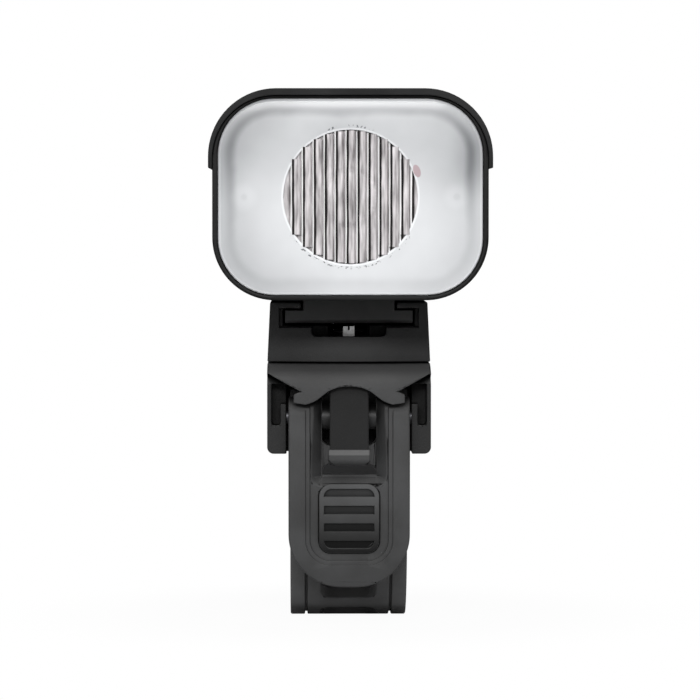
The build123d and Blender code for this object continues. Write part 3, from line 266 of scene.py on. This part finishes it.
def dark_finish(name, level, roughness, grain, depth, specular, mottling=0.12, lift=0, crevice=6.0,
                fade=beyond_the_back):
    """Moulded black: level is its grey, from 0 to 255, and lift is painted top light added on faces that look
    up. Forward faces get painted shade between the two depths of fade, in millimetres along Y."""
    finish = Finish(name, Specular_IOR_Level=specular)
    fine = finish.noise(grain, 3.0)
    slow = finish.noise(slow_grain, 3.0)
    tone = slow.ramp(0.3, 0.7) * (1 - mottling) + fine * mottling
    # Masks for the painted light and shade: faces that look up, faces that look aside, and depth behind the
    # front
    normal = finish.node("ShaderNodeNewGeometry", output="Normal")
    upward = finish.node("ShaderNodeSeparateXYZ", output="Z", Vector=normal).ramp(0.1, 0.8)
    not_forward = finish.node("ShaderNodeSeparateXYZ", output="Y", Vector=normal).ramp(-0.9, -0.5)
    in_front = finish.axis("Y").ramp(fade[0], fade[1], 1.0, 0.0)
    plain = finish.mix(tone, grey(level - tone_spread), grey(level + tone_spread, (0.99, 1.0, 1.02)))
    # Painted top light: the mottled grey raised by lift
    painted_top_light = finish.mix(tone, grey(level + lift - tone_spread), grey(level + lift + tone_spread))
    # Painted shade: crevices found by Ambient Occlusion, and forward faces behind the front, take a fifth of
    # the level
    open_air = finish.node(
        "ShaderNodeAmbientOcclusion", {"samples": 8}, output="AO", Distance=crevice * MM)
    outside_painted_shade = open_air.ramp(0.25, 0.9) * in_front.larger(upward).larger(not_forward)
    finish.set(
        Base_Color=finish.mix(outside_painted_shade, grey(level * crevice_share), finish.mix(upward, plain, painted_top_light)),
        Roughness=roughness + (slow - 0.5) * 0.12 + (fine - 0.5) * 0.10)
    finish.bump(fine, depth)
    return finish.material


tongue_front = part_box("catch_tongue")[0].y / MM
eroded = dict(grain=0.16, depth=0.05, mottling=0.6)
smooth = dict(grain=0.30, depth=0.010)
fine_grained = dict(grain=0.20, depth=0.010)
# lift sets painted top light, and crevice and fade set where painted shade falls
dark_parts = {
    "textured_plastic": dict(eroded, level=44, roughness=0.55, specular=0.18, lift=26),
    # Lighter copies of textured_plastic, as painted light on the brow and the catch's lip, with painted shade
    # by fade
    "clamp_plastic": dict(
        eroded, level=70, roughness=0.55, specular=0.12, lift=20, crevice=8.0, fade=(-25.6, -22.4)),
    "catch_plastic": dict(
        eroded, level=66, roughness=0.60, specular=0.1, lift=42,
        fade=(tongue_front + 0.1, tongue_front + 1.3)),
    "soft_rubber": dict(
        grain=0.35, depth=0.012, level=78, roughness=0.60, specular=0.4, crevice=3.0),
    "lever_rubber": dict(smooth, level=56, roughness=0.58, specular=0.25, lift=20),
    "grip_rubber": dict(
        smooth, level=82, roughness=0.76, specular=0.12, crevice=3.5, fade=(-26.1, -24.6)),
    "shell_plastic": dict(grain=0.12, depth=0.012, level=34, roughness=0.74, specular=0.1),
    "rail_plastic": dict(fine_grained, level=50, roughness=0.45, specular=0.2, crevice=8.0),
    "bezel_plastic": dict(grain=0.25, depth=0.004, level=8, roughness=0.45, specular=0.12),
    "switch_black": dict(fine_grained, level=44, roughness=0.72, specular=0.15),
}
finishes = {name: dark_finish(name, **values) for name, values in dark_parts.items()}
print("dark finishes", len(finishes))

# %% [markdown]
# ## Metals and inner parts
# Steel, brass and aluminium share one recipe: a metallic base with stretched noise for the lathe
# or rolling marks. The board, the cells' sleeve and the white parts are plain plastics with a
# little variation, because nobody sees a perfectly even surface. Noise needs no unwrapping, as a
# picture of each metal would, and it stays sharp close up.

# %% Metal and inner finishes
mark_depth = 0.004


def metal_finish(name, color, roughness, stretch=(1, 1, 1), grain=0.25):
    """Metal whose marks run along the axis with the smallest stretch."""
    finish = Finish(name, Metallic=1.0)
    along = finish.node("ShaderNodeMapping", Vector=finish.place, Scale=stretch)
    marks = finish.noise(grain, 4.0, along)
    finish.set(
        Base_Color=finish.mix(marks, tuple(c * 0.85 for c in color) + (1.0,), color + (1.0,)),
        Roughness=roughness + (marks - 0.5) * 0.2)
    finish.bump(marks, mark_depth)
    return finish.material


def pale_finish(name, color, roughness, grain=0.6, change=0.06, coat=0.0):
    """Plastic or lacquer with a faint mottling."""
    finish = Finish(name, Coat_Weight=coat, Coat_Roughness=0.1)
    mottle = finish.noise(grain, 3.0)
    finish.set(
        Base_Color=finish.mix(mottle, tuple(c * (1 - change) for c in color) + (1.0,), color + (1.0,)),
        Roughness=roughness + (mottle - 0.5) * 0.15)
    finish.bump(mottle, mark_depth)
    return finish.material


finishes.update({
    "steel": metal_finish("steel", (0.56, 0.57, 0.58), 0.32, (1, 0.1, 1)),
    "dark_steel": metal_finish("dark_steel", (0.06, 0.06, 0.065), 0.40, (0.1, 1, 1)),
    "brass": metal_finish("brass", (0.80, 0.60, 0.28), 0.30, (1, 1, 0.1)),
    "sink_aluminium": metal_finish("sink_aluminium", (0.72, 0.73, 0.74), 0.42, grain=0.5),
    "white_nylon": pale_finish("white_nylon", (0.80, 0.80, 0.77), 0.45),
    "white_plastic": pale_finish("white_plastic", (0.86, 0.87, 0.89), 0.30, coat=0.2),
    "board_white": pale_finish("board_white", (0.84, 0.84, 0.82), 0.35),
    "board_green": pale_finish("board_green", (0.03, 0.20, 0.09), 0.35, 0.9, 0.3, coat=0.4),
    "cell_sleeve": pale_finish("cell_sleeve", (0.08, 0.24, 0.50), 0.30, 1.5, 0.2, coat=0.3),
    "lamp_phosphor": pale_finish("lamp_phosphor", (0.88, 0.70, 0.18), 0.40, 0.2, 0.15),
})

# The spring is blued, and only its worn, turned-up end is bright
spring = Finish("spring_steel", Metallic=1.0)
marks = spring.noise(0.25, 4.0)
spring_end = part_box("detent_spring")[0].y / MM
blued = spring.axis("Y").ramp(spring_end + 0.45, spring_end + 0.6)
worn_color, blued_color = spring.mix(marks, grey(120), grey(180)), grey(28, (0.95, 1.0, 1.1))
spring.set(
    Base_Color=spring.mix(blued, worn_color, blued_color),
    Roughness=0.25 + marks * 0.15 + blued * 0.2)
finishes["spring_steel"] = spring.material
print("finishes", len(finishes))

# %% [markdown]
# ## The frosted part of the lens
# The lens is one moulding with two looks: a frosted field that spreads the light, and a round window with
# upright flutes. Through the frosting one sees the white pan behind it as a soft glow: brighter low down,
# darker in the corners on the left and under the hood, with two screw bosses as pale blurs. Milky plastic
# that lets light through is slow and noisy to trace, so that glow and shade are painted into the colour
# instead, worked out from the lens's own coordinates. Each term below is one painted highlight, glow or shade
# that one sees there, besides a little random cloud, and their sum is the tone, from 0 for the darkest grey
# to 1 for the palest.

# %% Frosted lens finish
lens_low, lens_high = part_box("front_lens")
lens_middle = (lens_low + lens_high) / 2 / MM
lens_half_width = (lens_high.x - lens_low.x) / 2 / MM
lens_half_height = (lens_high.z - lens_low.z) / 2 / MM
plate_corner, window_radius, ring_radius, boss_offset = 9.2, 10.9, 11.05, 17.2


def inside_edge(finish, corner):
    """Distance from the lens's rounded outline, in millimetres, growing inwards."""
    across = finish.axis("X").size() - (lens_half_width - corner)
    upright = (finish.axis("Z") - lens_middle.z).size() - (lens_half_height - corner)
    past_x, past_z = across.larger(0), upright.larger(0)
    corner_part = (past_x * past_x + past_z * past_z).root()
    return corner - corner_part - across.larger(upright).smaller(0)


def from_spot(across, upright, spot=(0, 0), wide=1.0, tall=1.0):
    """Distance from a spot. A value of wide or tall below 1 makes rings round it longer that way."""
    away_x, away_z = across - spot[0], upright - spot[1]
    return (away_x * away_x * wide + away_z * away_z * tall).root()


frosted = Finish(
    "frosted_lens", Roughness=0.36, Specular_IOR_Level=0.35, Coat_Weight=0.1, Coat_Roughness=0.1)
x, z = frosted.axis("X"), frosted.axis("Z") - lens_middle.z
cloud = frosted.noise(6.0, 2.0) - 0.5

# The moulding's edge: a painted highlight along its rim, and inside it a soft band of painted shade that is
# deeper towards the top
edge = inside_edge(frosted, plate_corner)
from_edge = edge + cloud * 0.8
rim = edge.ramp(0.25, 0.6, 0.22, 0.0)
band = from_edge.ramp(0.5, 2.0) * from_edge.ramp(2.0, 3.4, 1.0, 0.0) * z.ramp(-14.0, 6.0, 0.06, 0.16)

# The pan behind, painted: its glow low down as painted light, and painted shade at its corners, under the
# hood and on the right
painted_glow = from_spot(x, z, (0, -5.5), wide=0.55).ramp(7.0, 17.0, 0.13, 0.0)
upper_left = (z * 0.9 - x).ramp(18.0, 28.0, 0.0, 0.17)
lower_left = (z * -0.9 - x).ramp(12.0, 27.0, 0.0, 0.09)
under_hood = z.ramp(-6.0, 13.0, 0.0, 0.10)
painted_shade_right = from_spot(x, z, (16.0, 7.0), tall=0.6).ramp(0.5, 9.0, 0.04, 0.0)
dark_side = from_spot(x, z, (20.5, 6.5), tall=0.45).ramp(0.5, 5.5, 0.15, 0.0)

# The two screw bosses seen through the frosting, painted: a pale blur of painted light round a small heart of
# painted shade
bosses = 0
for side in (-1, 1):
    from_boss = from_spot(x, z, (side * boss_offset, 0)) + cloud * 0.9
    bosses = from_boss.ramp(0.9, 2.7, 0.055, 0.0) + from_boss.ramp(0.2, 0.7, -0.05, 0.0) + bosses

# The window's border: a ring of painted highlight with dark flecks beside it at the top and bottom, and a
# painted pink glint
ring_distance = (from_spot(x, z) - ring_radius).size()
ring_line = ring_distance.ramp(0.05, 0.25, 0.16, 0.0)
fleck_row = (ring_distance - 0.45).size().ramp(0.1, 0.25, 1.0, 0.0)
top_or_bottom = x.size().ramp(3.2, 3.9, 1.0, 0.0).larger(z.ramp(-7.4, -5.8, 1.0, 0.0))
dark_flecks = frosted.noise(0.45, 2.0).ramp(0.56, 0.60) * fleck_row * top_or_bottom * 0.75
glint_x, glint_z = x - 10.75, z - 4.2
from_painted_glint = (glint_x * glint_x * 2.2 + glint_z * glint_z * 0.9 + glint_x * glint_z).root()

# The painted light and shade, with a little random cloud, sum to the tone that sets the frosting's grey
tone = 0.44 + ring_line - dark_flecks + painted_glow + rim - band
tone = tone - upper_left - dark_side - painted_shade_right - lower_left - under_hood + bosses + cloud * 0.10
milky_painted_light = frosted.mix(
    tone.smaller(1).larger(0), grey(92, (0.94, 0.99, 1.06)), grey(250, (0.985, 1.0, 1.02)))
# The painted pink reflection beside the window lies over the frosting's colour
frosted.set(Base_Color=frosted.mix(from_painted_glint.ramp(0.8, 1.0), grey(146, (1.2, 0.9, 0.96)), milky_painted_light))
frosted.bump(frosted.noise(0.12, 2.0), 0.004)
finishes["frosted_lens"] = frosted.material
print("lens", round(2 * lens_half_width, 1), "by", round(2 * lens_half_height, 1), "mm")

# %% [markdown]
# ## The window's optic
# Each flute of the window squeezes what is behind it into a white line, a black line and a thin
# grey one. Clear rods that bend the light would do that too, but they are slow and noisy to trace.
# So the rods get an opaque finish with these lines painted on, as painted highlights and shade in place of
# the bent light, at the same pitch as the rods, over a painted tone with a darker ring and heart. The optic
# behind the window is plain clear plastic.

# %% Window finishes
clear = Finish(
    "clear_optic", Base_Color=(0.98, 0.98, 0.99, 1), Roughness=0.03, Transmission_Weight=1.0, IOR=1.49)
clear.bump(clear.noise(3.0), 0.01)
finishes["clear_optic"] = clear.material

flute_pitch = 1.77
fluted = Finish(
    "fluted_optic", Roughness=0.08, Specular_IOR_Level=0.5, Coat_Weight=0.6, Coat_Roughness=0.03)
x, z = fluted.axis("X"), fluted.axis("Z") - lens_middle.z
stretched = fluted.node("ShaderNodeMapping", Vector=fluted.place, Scale=(1, 1, 0.12))
streaks = fluted.noise(0.7, 3.0, stretched) - 0.5
speckle = fluted.noise(0.5, 3.0) - 0.5
# Painted lines in each flute: a white painted highlight, a black line of painted shade and a thin grey one
phase = (x * (1 / flute_pitch) + 0.5 + streaks * 0.16).fraction()
white_line = phase.ramp(0.10, 0.15, 1.0, 0.0)
black_line = phase.ramp(0.12, 0.17) * phase.ramp(0.30, 0.42, 1.0, 0.0)
thin_line = phase.ramp(0.84, 0.88) * phase.ramp(0.92, 0.96, 1.0, 0.0)
# A painted tone: the darker ring and heart are painted shade of the optic behind
from_middle = from_spot(x, z)
ring = (from_middle - 4.6 + speckle * 1.6).size().ramp(0.0, 0.9, 1.0, 0.0)
heart = from_middle.ramp(1.0, 3.2, 1.0, 0.0)
fluted_tone = 0.57 + streaks * 2.2 - (ring * 0.14 + heart * 0.20 + speckle * 0.10)
body_color = fluted.mix(
    fluted_tone.smaller(1).larger(0), grey(88, (1.06, 0.96, 0.98)), grey(222, (1.03, 0.985, 1.0)))
lined_color = fluted.mix(black_line.larger(thin_line * 0.55), body_color, grey(24, (1.1, 0.95, 1.0)))
fluted.set(Base_Color=fluted.mix(white_line, lined_color, grey(250)))
finishes["fluted_optic"] = fluted.material
print("finishes", len(finishes))

# %% [markdown]
# ## Softened copies of CAD solids
# A moulded part has no razor edge: every corner is rounded by a tenth of a millimetre or more and
# catches a thin highlight. Rounding them in CAD would be exact but slow, and it often fails where
# many edges meet. So we copy the mesh, whose triangles are loose, merge it, turn flat areas back
# into single faces, and let a Bevel modifier round only the real corners.

# %% Softening helper
# Edges sharper than corner_angle are rounded, hollow ones less than raised ones. A bevel takes at
# most room_share of the way to the next corner, so that two never meet on a face.
corner_angle, smooth_angle, rounding_steps = 26, 40, 2
raised_weight, hollow_weight, room_share = 1.0, 0.4, 0.38
bore_reach = 0.55  # from a pin's axis, as a share of its diameter
pin_boxes = [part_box(pin) for pin in ("lever_pin", "strap_pin")]
# These two get lighter copies of the cradle's plastic, as painted light, whose slot they share
own_finish = {"catch_tongue": "catch_plastic", "base_clamp": "clamp_plastic"}


def mesh_object(name, mesh):
    """A new object at the origin for a finished mesh."""
    made = bpy.data.objects.new(name, mesh)
    scene.collection.objects.link(made)
    return made


def applied(made):
    """The object, with its modifiers worked into its mesh."""
    bpy.context.view_layer.update()
    mesh = bpy.data.meshes.new_from_object(made.evaluated_get(bpy.context.evaluated_depsgraph_get()))
    made.modifiers.clear()
    made.data = mesh
    return made


def shade(mesh, angle):
    """Smooth shading that keeps corners sharper than the angle, in degrees."""
    for face in mesh.polygons:
        face.use_smooth = True
    mesh.set_sharp_from_angle(angle=radians(angle))


def dress(made, finish):
    """Gives an object one finish."""
    made.data.materials.clear()
    made.data.materials.append(finishes[finish])


def merged_copy(node):
    """The node's mesh with its doubles merged and its flat areas joined."""
    sculpt = bmesh.new()
    sculpt.from_mesh(nodes[node].data)
    bmesh.ops.remove_doubles(sculpt, verts=sculpt.verts, dist=0.002 * MM)
    bmesh.ops.dissolve_limit(sculpt, angle_limit=radians(0.6), verts=sculpt.verts, edges=sculpt.edges)
    return sculpt


def room_beside(edge, corners):
    """Distance from a corner edge to the nearest one straight across a face, at most a metre."""
    start, end = edge.verts[0].co, edge.verts[1].co
    middle = (start + end) / 2
    room = 1.0
    for face in edge.link_faces:
        inwards = face.normal.cross(end - start).normalized()
        for other in face.edges:
            if other in corners and not set(other.verts) & set(edge.verts):
                share = intersect_point_line(middle, other.verts[0].co, other.verts[1].co)[1]
                share = min(max(share, 0), 1)
                apart = other.verts[0].co.lerp(other.verts[1].co, share) - middle
                if abs(apart.dot(inwards)) > 0.5 * apart.length:
                    room = min(room, apart.length)
    return room


def on_bore(point):
    """Whether a point lies on the bore of one of the two pins."""
    return any((point - (low + high) / 2).yz.length < bore_reach * (high.z - low.z)
               for low, high in pin_boxes)


def weigh_corners(sculpt, width):
    """Gives each corner edge a bevel weight: two bevels never meet on a face, and bores stay sharp."""
    weight = sculpt.edges.layers.float.new("bevel_weight_edge")
    corners = {edge for edge in sculpt.edges
               if len(edge.link_faces) == 2 and edge.calc_face_angle() > radians(corner_angle)
               and not any(on_bore(vert.co) for vert in edge.verts)}
    for edge in corners:
        most = raised_weight if edge.is_convex else hollow_weight
        edge[weight] = min(most, room_share * room_beside(edge, corners) / width)


def softened(node, width, split_over):
    """Stands a copy of the node with rounded corners in its place. Flat faces with more than
    split_over corners are split first: on the lever, whole ones showed dark crescents."""
    sculpt = merged_copy(node)
    surface = BVHTree.FromBMesh(sculpt)
    weigh_corners(sculpt, width * MM)
    bmesh.ops.triangulate(sculpt, faces=[face for face in sculpt.faces if len(face.verts) > split_over])
    mesh = bpy.data.meshes.new(node + "_soft")
    sculpt.to_mesh(mesh)
    sculpt.free()
    made = mesh_object(node + "_soft", mesh)
    rounding = made.modifiers.new("rounding", "BEVEL")
    rounding.width = width * MM
    rounding.segments = rounding_steps
    rounding.limit_method = "WEIGHT"
    rounding.use_clamp_overlap = False
    applied(made)
    # Where several corners meet, a bevel can throw a point off the part: such a point goes back
    for point in made.data.vertices:
        nearest, _, _, gap = surface.find_nearest(point.co)
        if gap > 1.2 * width * MM:
            point.co = nearest
    shade(made.data, smooth_angle)
    made.modifiers.new("flat faces", "WEIGHTED_NORMAL").keep_sharp = True
    applied(made)
    dress(made, own_finish.get(node, slot_of[node]))
    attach(made, nodes[node]["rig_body"])
    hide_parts(node)
    return made


print("bores kept sharp", len(pin_boxes))

# %% [markdown]
# ## Which parts are softened
# Each part gets the rounding that its moulding has: the lever, strap and base most, the shell and
# the small precise parts least. One width for all would blur the small parts and leave the large
# ones looking cut from card, so a table gives each its own, in millimetres.

# %% Soften the moulded parts
roundings = {
    "base_clamp": 0.22, "cradle": 0.22, "lever": 0.28, "lever_grip": 0.16, "catch_tongue": 0.2, "strap": 0.25,
    "hood": 0.16, "lower_shell": 0.15, "front_bezel": 0.12, "rear_cap": 0.15, "rail_foot": 0.15,
    "release_tab": 0.18, "port_cover": 0.1, "power_button": 0.1, "saddle_pad": 0.2,
}
for node, width in roundings.items():
    made = softened(node, width, split_over=60 if node == "base_clamp" else 24)
    print(node, len(made.data.polygons), "faces")

# %% [markdown]
# ## Guides beside the spring
# The photograph shows no light through the slot behind the spring's tip, so the cradle's well must
# close on the leaf. Two straight guides, one each side, do that in the cradle's own plastic. A
# guide is a straight rib, so a block that is scaled in the mesh is its whole shape.

# %% Spring guides
spring_low, spring_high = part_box("detent_spring")
foot_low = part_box("rail_foot")[0]
guide_width, guide_length, guide_middle, guide_drop = 0.95 * MM, 20 * MM, 7 * MM, 0.55 * MM
guide_height = foot_low.z - spring_low.z - guide_drop
guide_level = (foot_low.z + spring_low.z - guide_drop) / 2
for side in (-1, 1):
    block = bmesh.new()
    bmesh.ops.create_cube(block, size=1)
    bmesh.ops.scale(block, verts=block.verts, vec=(guide_width, guide_length, guide_height))
    bmesh.ops.translate(
        block, verts=block.verts,
        vec=(side * (spring_high.x + guide_width / 2), guide_middle, guide_level))
    guide_mesh = bpy.data.meshes.new("spring_guide")
    block.to_mesh(guide_mesh)
    block.free()
    guide = mesh_object(f"spring_guide_{'left' if side < 0 else 'right'}", guide_mesh)
    dress(guide, "textured_plastic")
    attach(guide, "turret")
print("guides", round(guide_height / MM, 2), "mm high")

# %% [markdown]
# ## Dress the other CAD nodes
# Inner parts and small hardware already have the right shape, so they only get a finish. A new
# mesh for them would gain nothing, since most lie inside the housing.

# %% Dress what stays
kept_shapes = [node for node in nodes if node not in roundings and node != "front_lens"]
for node in kept_shapes:
    dress(nodes[node], slot_of[node])
print("dressed", len(kept_shapes), "nodes as they are")

# %% [markdown]
# ## Lens plate
# The frosted plate is a rounded rectangle with a round hole. Its front edge is turned over in a
# small curve, which draws the thin bright line all round. Cutting a hole with a Boolean modifier
# would leave long thin triangles round it. Here the outline and the hole are closed rings with
# equally many points, which bridge into even faces.

# %% Frosted plate
plate_thickness, edge_round, hole_step = 2.0, 0.5, 0.3
corner_steps, edge_steps = 12, 4


def rounded_ring(inset, depth):
    """Points round the lens's outline, drawn in by inset, at a depth behind its front."""
    radius = plate_corner - inset
    points = []
    for quarter in range(4):
        cx = (lens_half_width - plate_corner) * (1 if quarter in (0, 3) else -1)
        cz = (lens_half_height - plate_corner) * (1 if quarter in (0, 1) else -1)
        for step in range(corner_steps + 1):
            turn = pi / 2 * (quarter + step / corner_steps)
            points.append(Vector((
                lens_middle.x + cx + radius * cos(turn), lens_low.y / MM + depth,
                lens_middle.z + cz + radius * sin(turn))) * MM)
    return points


def circle_ring(radius, depth, count):
    """Points round the window."""
    return [Vector((
        lens_middle.x + radius * cos(2 * pi * n / count), lens_low.y / MM + depth,
        lens_middle.z + radius * sin(2 * pi * n / count))) * MM for n in range(count)]


def skin(sculpt, rings):
    """Joins closed rings of equal length one after another with quads."""
    rows = [[sculpt.verts.new(point) for point in ring] for ring in rings]
    for first, second in zip(rows, rows[1:]):
        for n in range(len(first)):
            m = (n + 1) % len(first)
            sculpt.faces.new((first[n], second[n], second[m], first[m]))
    return rows


def loop_edges(sculpt, rows):
    """The edges round each closed row of points."""
    edges = []
    for row in rows:
        for n, point in enumerate(row):
            pair = (point, row[(n + 1) % len(row)])
            edges.append(sculpt.edges.get(pair) or sculpt.edges.new(pair))
    return edges


plate = bmesh.new()
turned = [(edge_round * (1 - cos(pi / 2 * n / edge_steps)), edge_round * (1 - sin(pi / 2 * n / edge_steps)))
          for n in range(edge_steps + 1)]
outer_rows = skin(
    plate, [rounded_ring(0, plate_thickness)] + [rounded_ring(inset, depth) for inset, depth in turned])
count = len(outer_rows[0])
hole_rows = skin(
    plate, [circle_ring(window_radius, depth, count) for depth in (0, hole_step, plate_thickness)])
bmesh.ops.bridge_loops(plate, edges=loop_edges(plate, (outer_rows[-1], hole_rows[0])))
bmesh.ops.bridge_loops(plate, edges=loop_edges(plate, (outer_rows[0], hole_rows[-1])))
bmesh.ops.recalc_face_normals(plate, faces=plate.faces)
plate_mesh = bpy.data.meshes.new("frosted_plate")
plate.to_mesh(plate_mesh)
plate.free()
frosted_plate = mesh_object("frosted_plate", plate_mesh)
shade(plate_mesh, 35)
dress(frosted_plate, "frosted_lens")
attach(frosted_plate, "headlight")
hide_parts("front_lens")
print("plate", len(plate_mesh.polygons), "faces")

# %% [markdown]
# ## Flutes
# The flutes fill the plate's hole: upright rods side by side, a little flattened, on a round disc.
# Each rod is as long as the circle is high at its place, so the field ends in the little steps
# that the photograph shows. A rule like that is a job for Geometry Nodes: points on a line, a rod
# on each, its length worked out from the point's distance. By hand it would be eleven rods, and
# eleven changes whenever the window's size changes.


# %% Geometry Nodes helper
class Tree:
    """A Geometry Nodes tree built from named inputs."""

    def __init__(self, name, **inputs):
        self.group = bpy.data.node_groups.new(name, "GeometryNodeTree")
        sockets = self.group.interface
        for label, value in inputs.items():
            kind = "NodeSocketInt" if isinstance(value, int) else "NodeSocketFloat"
            socket = sockets.new_socket(label, in_out="INPUT", socket_type=kind)
            socket.default_value = value
        sockets.new_socket("Geometry", in_out="OUTPUT", socket_type="NodeSocketGeometry")
        self.source = self.group.nodes.new("NodeGroupInput")
        self.end = self.group.nodes.new("NodeGroupOutput")

    def input(self, label):
        return Wire(self.group, self.source.outputs[label])

    def node(self, kind, settings=None, output=0, **values):
        return add_node(self.group, kind, settings, output, values)

    def made(self, name, result, finish):
        """Realizes the result in one finish and returns it as a plain mesh object."""
        real = self.node("GeometryNodeRealizeInstances", Geometry=result)
        dressed = self.node("GeometryNodeSetMaterial", Geometry=real, Material=finishes[finish])
        self.group.links.new(dressed.socket, self.end.inputs[0])
        made = mesh_object(name, bpy.data.meshes.new(name))
        made.modifiers.new("nodes", "NODES").node_group = self.group
        return applied(made)


# %% Flutes
rod_depth, rod_flattening, disc_depth, disc_thickness = 0.35, 0.75, 1.2, 0.8
flutes = Tree("flutes", Pitch=flute_pitch * MM, Radius=10.75 * MM, Rod=0.86 * MM, Count=11)
line = flutes.node("GeometryNodeMeshLine", {"mode": "OFFSET"}, Count=flutes.input("Count"))
number = flutes.node("GeometryNodeInputIndex")
place = (number - (flutes.input("Count") - 1) * 0.5) * flutes.input("Pitch")
spot = flutes.node("ShaderNodeCombineXYZ", X=place, Y=lens_low.y + rod_depth * MM, Z=lens_middle.z * MM)
points = flutes.node("GeometryNodeSetPosition", Geometry=line, Position=spot)
reach = (flutes.input("Radius") * flutes.input("Radius") - place * place).larger(1e-9).root()
rod = flutes.node("GeometryNodeMeshCylinder", Vertices=28, Radius=flutes.input("Rod"), Depth=2.0)
stretch = flutes.node("ShaderNodeCombineXYZ", X=1.0, Y=rod_flattening, Z=reach)
rods = flutes.node("GeometryNodeInstanceOnPoints", Points=points, Instance=rod, Scale=stretch)
disc = flutes.node(
    "GeometryNodeMeshCylinder", Vertices=96, Radius=window_radius * MM, Depth=disc_thickness * MM)
base_disc = flutes.node(
    "GeometryNodeTransform", Geometry=disc, Rotation=(pi / 2, 0, 0),
    Translation=(lens_middle.x * MM, lens_low.y + disc_depth * MM, lens_middle.z * MM))
both = flutes.node("GeometryNodeJoinGeometry")
for piece in (rods, base_disc):
    flutes.group.links.new(piece.socket, both.socket.node.inputs[0])
flute_field = flutes.made("flute_field", both, "fluted_optic")
shade(flute_field.data, smooth_angle)
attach(flute_field, "headlight")
print("flutes", len(flute_field.data.polygons), "faces")

# %% [markdown]
# ## Studio
# A pale floor just under the strap, and a dim even light from all round. The picture's background
# is white because the floor and the world send white only to the camera and through clear parts,
# so the light on the object can stay low enough that black plastic looks black. The floor keeps a
# faint shadow near the strap. White isn't sent to mirror rays: the black plastics then turned pale
# at their sides, and the photographed ones stay dark there.

# %% Floor and world
room_light, floor_half, shadow_tone = 0.18, 3.0, 0.96


def seen_directly(tree):
    """1 for what the camera sees, also through clear parts, and 0 for light on the object."""
    path = tree.nodes.new("ShaderNodeLightPath")
    return Wire(tree, path.outputs["Is Camera Ray"]).larger(Wire(tree, path.outputs["Is Transmission Ray"]))


floor_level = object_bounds()[0][2] - 0.1 * MM
floor_mesh = bpy.data.meshes.new("floor")
floor_corners = [(-floor_half, -floor_half), (floor_half, -floor_half),
                 (floor_half, floor_half), (-floor_half, floor_half)]
floor_mesh.from_pydata([corner + (floor_level,) for corner in floor_corners], [], [(0, 1, 2, 3)])
floor = mesh_object("floor", floor_mesh)
paper = Finish("paper", Base_Color=(0.85, 0.85, 0.85, 1), Roughness=0.9, Specular_IOR_Level=0.0)
white = paper.node("ShaderNodeEmission", Color=(1, 1, 1, 1), Strength=1.0)
away = from_spot(paper.axis("X"), paper.axis("Y")).ramp(25.0, 70.0, shadow_tone, 1.0)
blend = paper.node("ShaderNodeMixShader", Fac=seen_directly(paper.tree) * away)
blend_node = blend.socket.node
paper.tree.links.new(paper.shader.outputs[0], blend_node.inputs[1])
paper.tree.links.new(white.socket, blend_node.inputs[2])
paper.tree.links.new(blend.socket, paper.tree.nodes["Material Output"].inputs["Surface"])
floor_mesh.materials.append(paper.material)

world = bpy.data.worlds.new("studio")
world.use_nodes = True
sky = world.node_tree
background = sky.nodes["Background"]
background.inputs["Color"].default_value = (1, 1, 1, 1)
plug(sky, background.inputs["Strength"], seen_directly(sky) * (1 - room_light) + room_light)
scene.world = world
print("floor at", round(floor_level / MM, 2), "mm")

# %% [markdown]
# ## Lamps
# Four lamps stand in front of the light and above it. The key lamp is the strongest: a low strip
# a little above the camera, whose narrow shape keeps the highlights on rounded edges thin. The
# ledge lamp stands higher and lights the faces that look up, the front lamp fills in beside the
# key, and the top lamp lights the shell from above. Lamps without a size would draw hard shadows,
# so all four are areas.


# %% Place the lamps
def area_lamp(name, place, aim_at, width, height, power):
    """A rectangular lamp: its two places in millimetres, its sides in metres, its power in watts."""
    data = bpy.data.lights.new(name, "AREA")
    data.shape = "RECTANGLE"
    data.size, data.size_y, data.energy = width, height, power
    lamp = bpy.data.objects.new(name, data)
    scene.collection.objects.link(lamp)
    lamp.location = Vector(place) * MM
    lamp.rotation_euler = (Vector(aim_at) * MM - lamp.location).to_track_quat("-Z", "Y").to_euler()


area_lamp("key", (-40, -560, 195), (0, 0, 20), 0.22, 0.05, 1.9)
area_lamp("front", (10, -600, 150), (0, 0, 20), 0.18, 0.12, 0.2)
area_lamp("ledge", (20, -440, 420), (0, 0, 10), 0.25, 0.25, 0.9)
area_lamp("top", (0, -20, 480), (0, 0, 40), 0.35, 0.35, 0.4)
print("lamps placed")
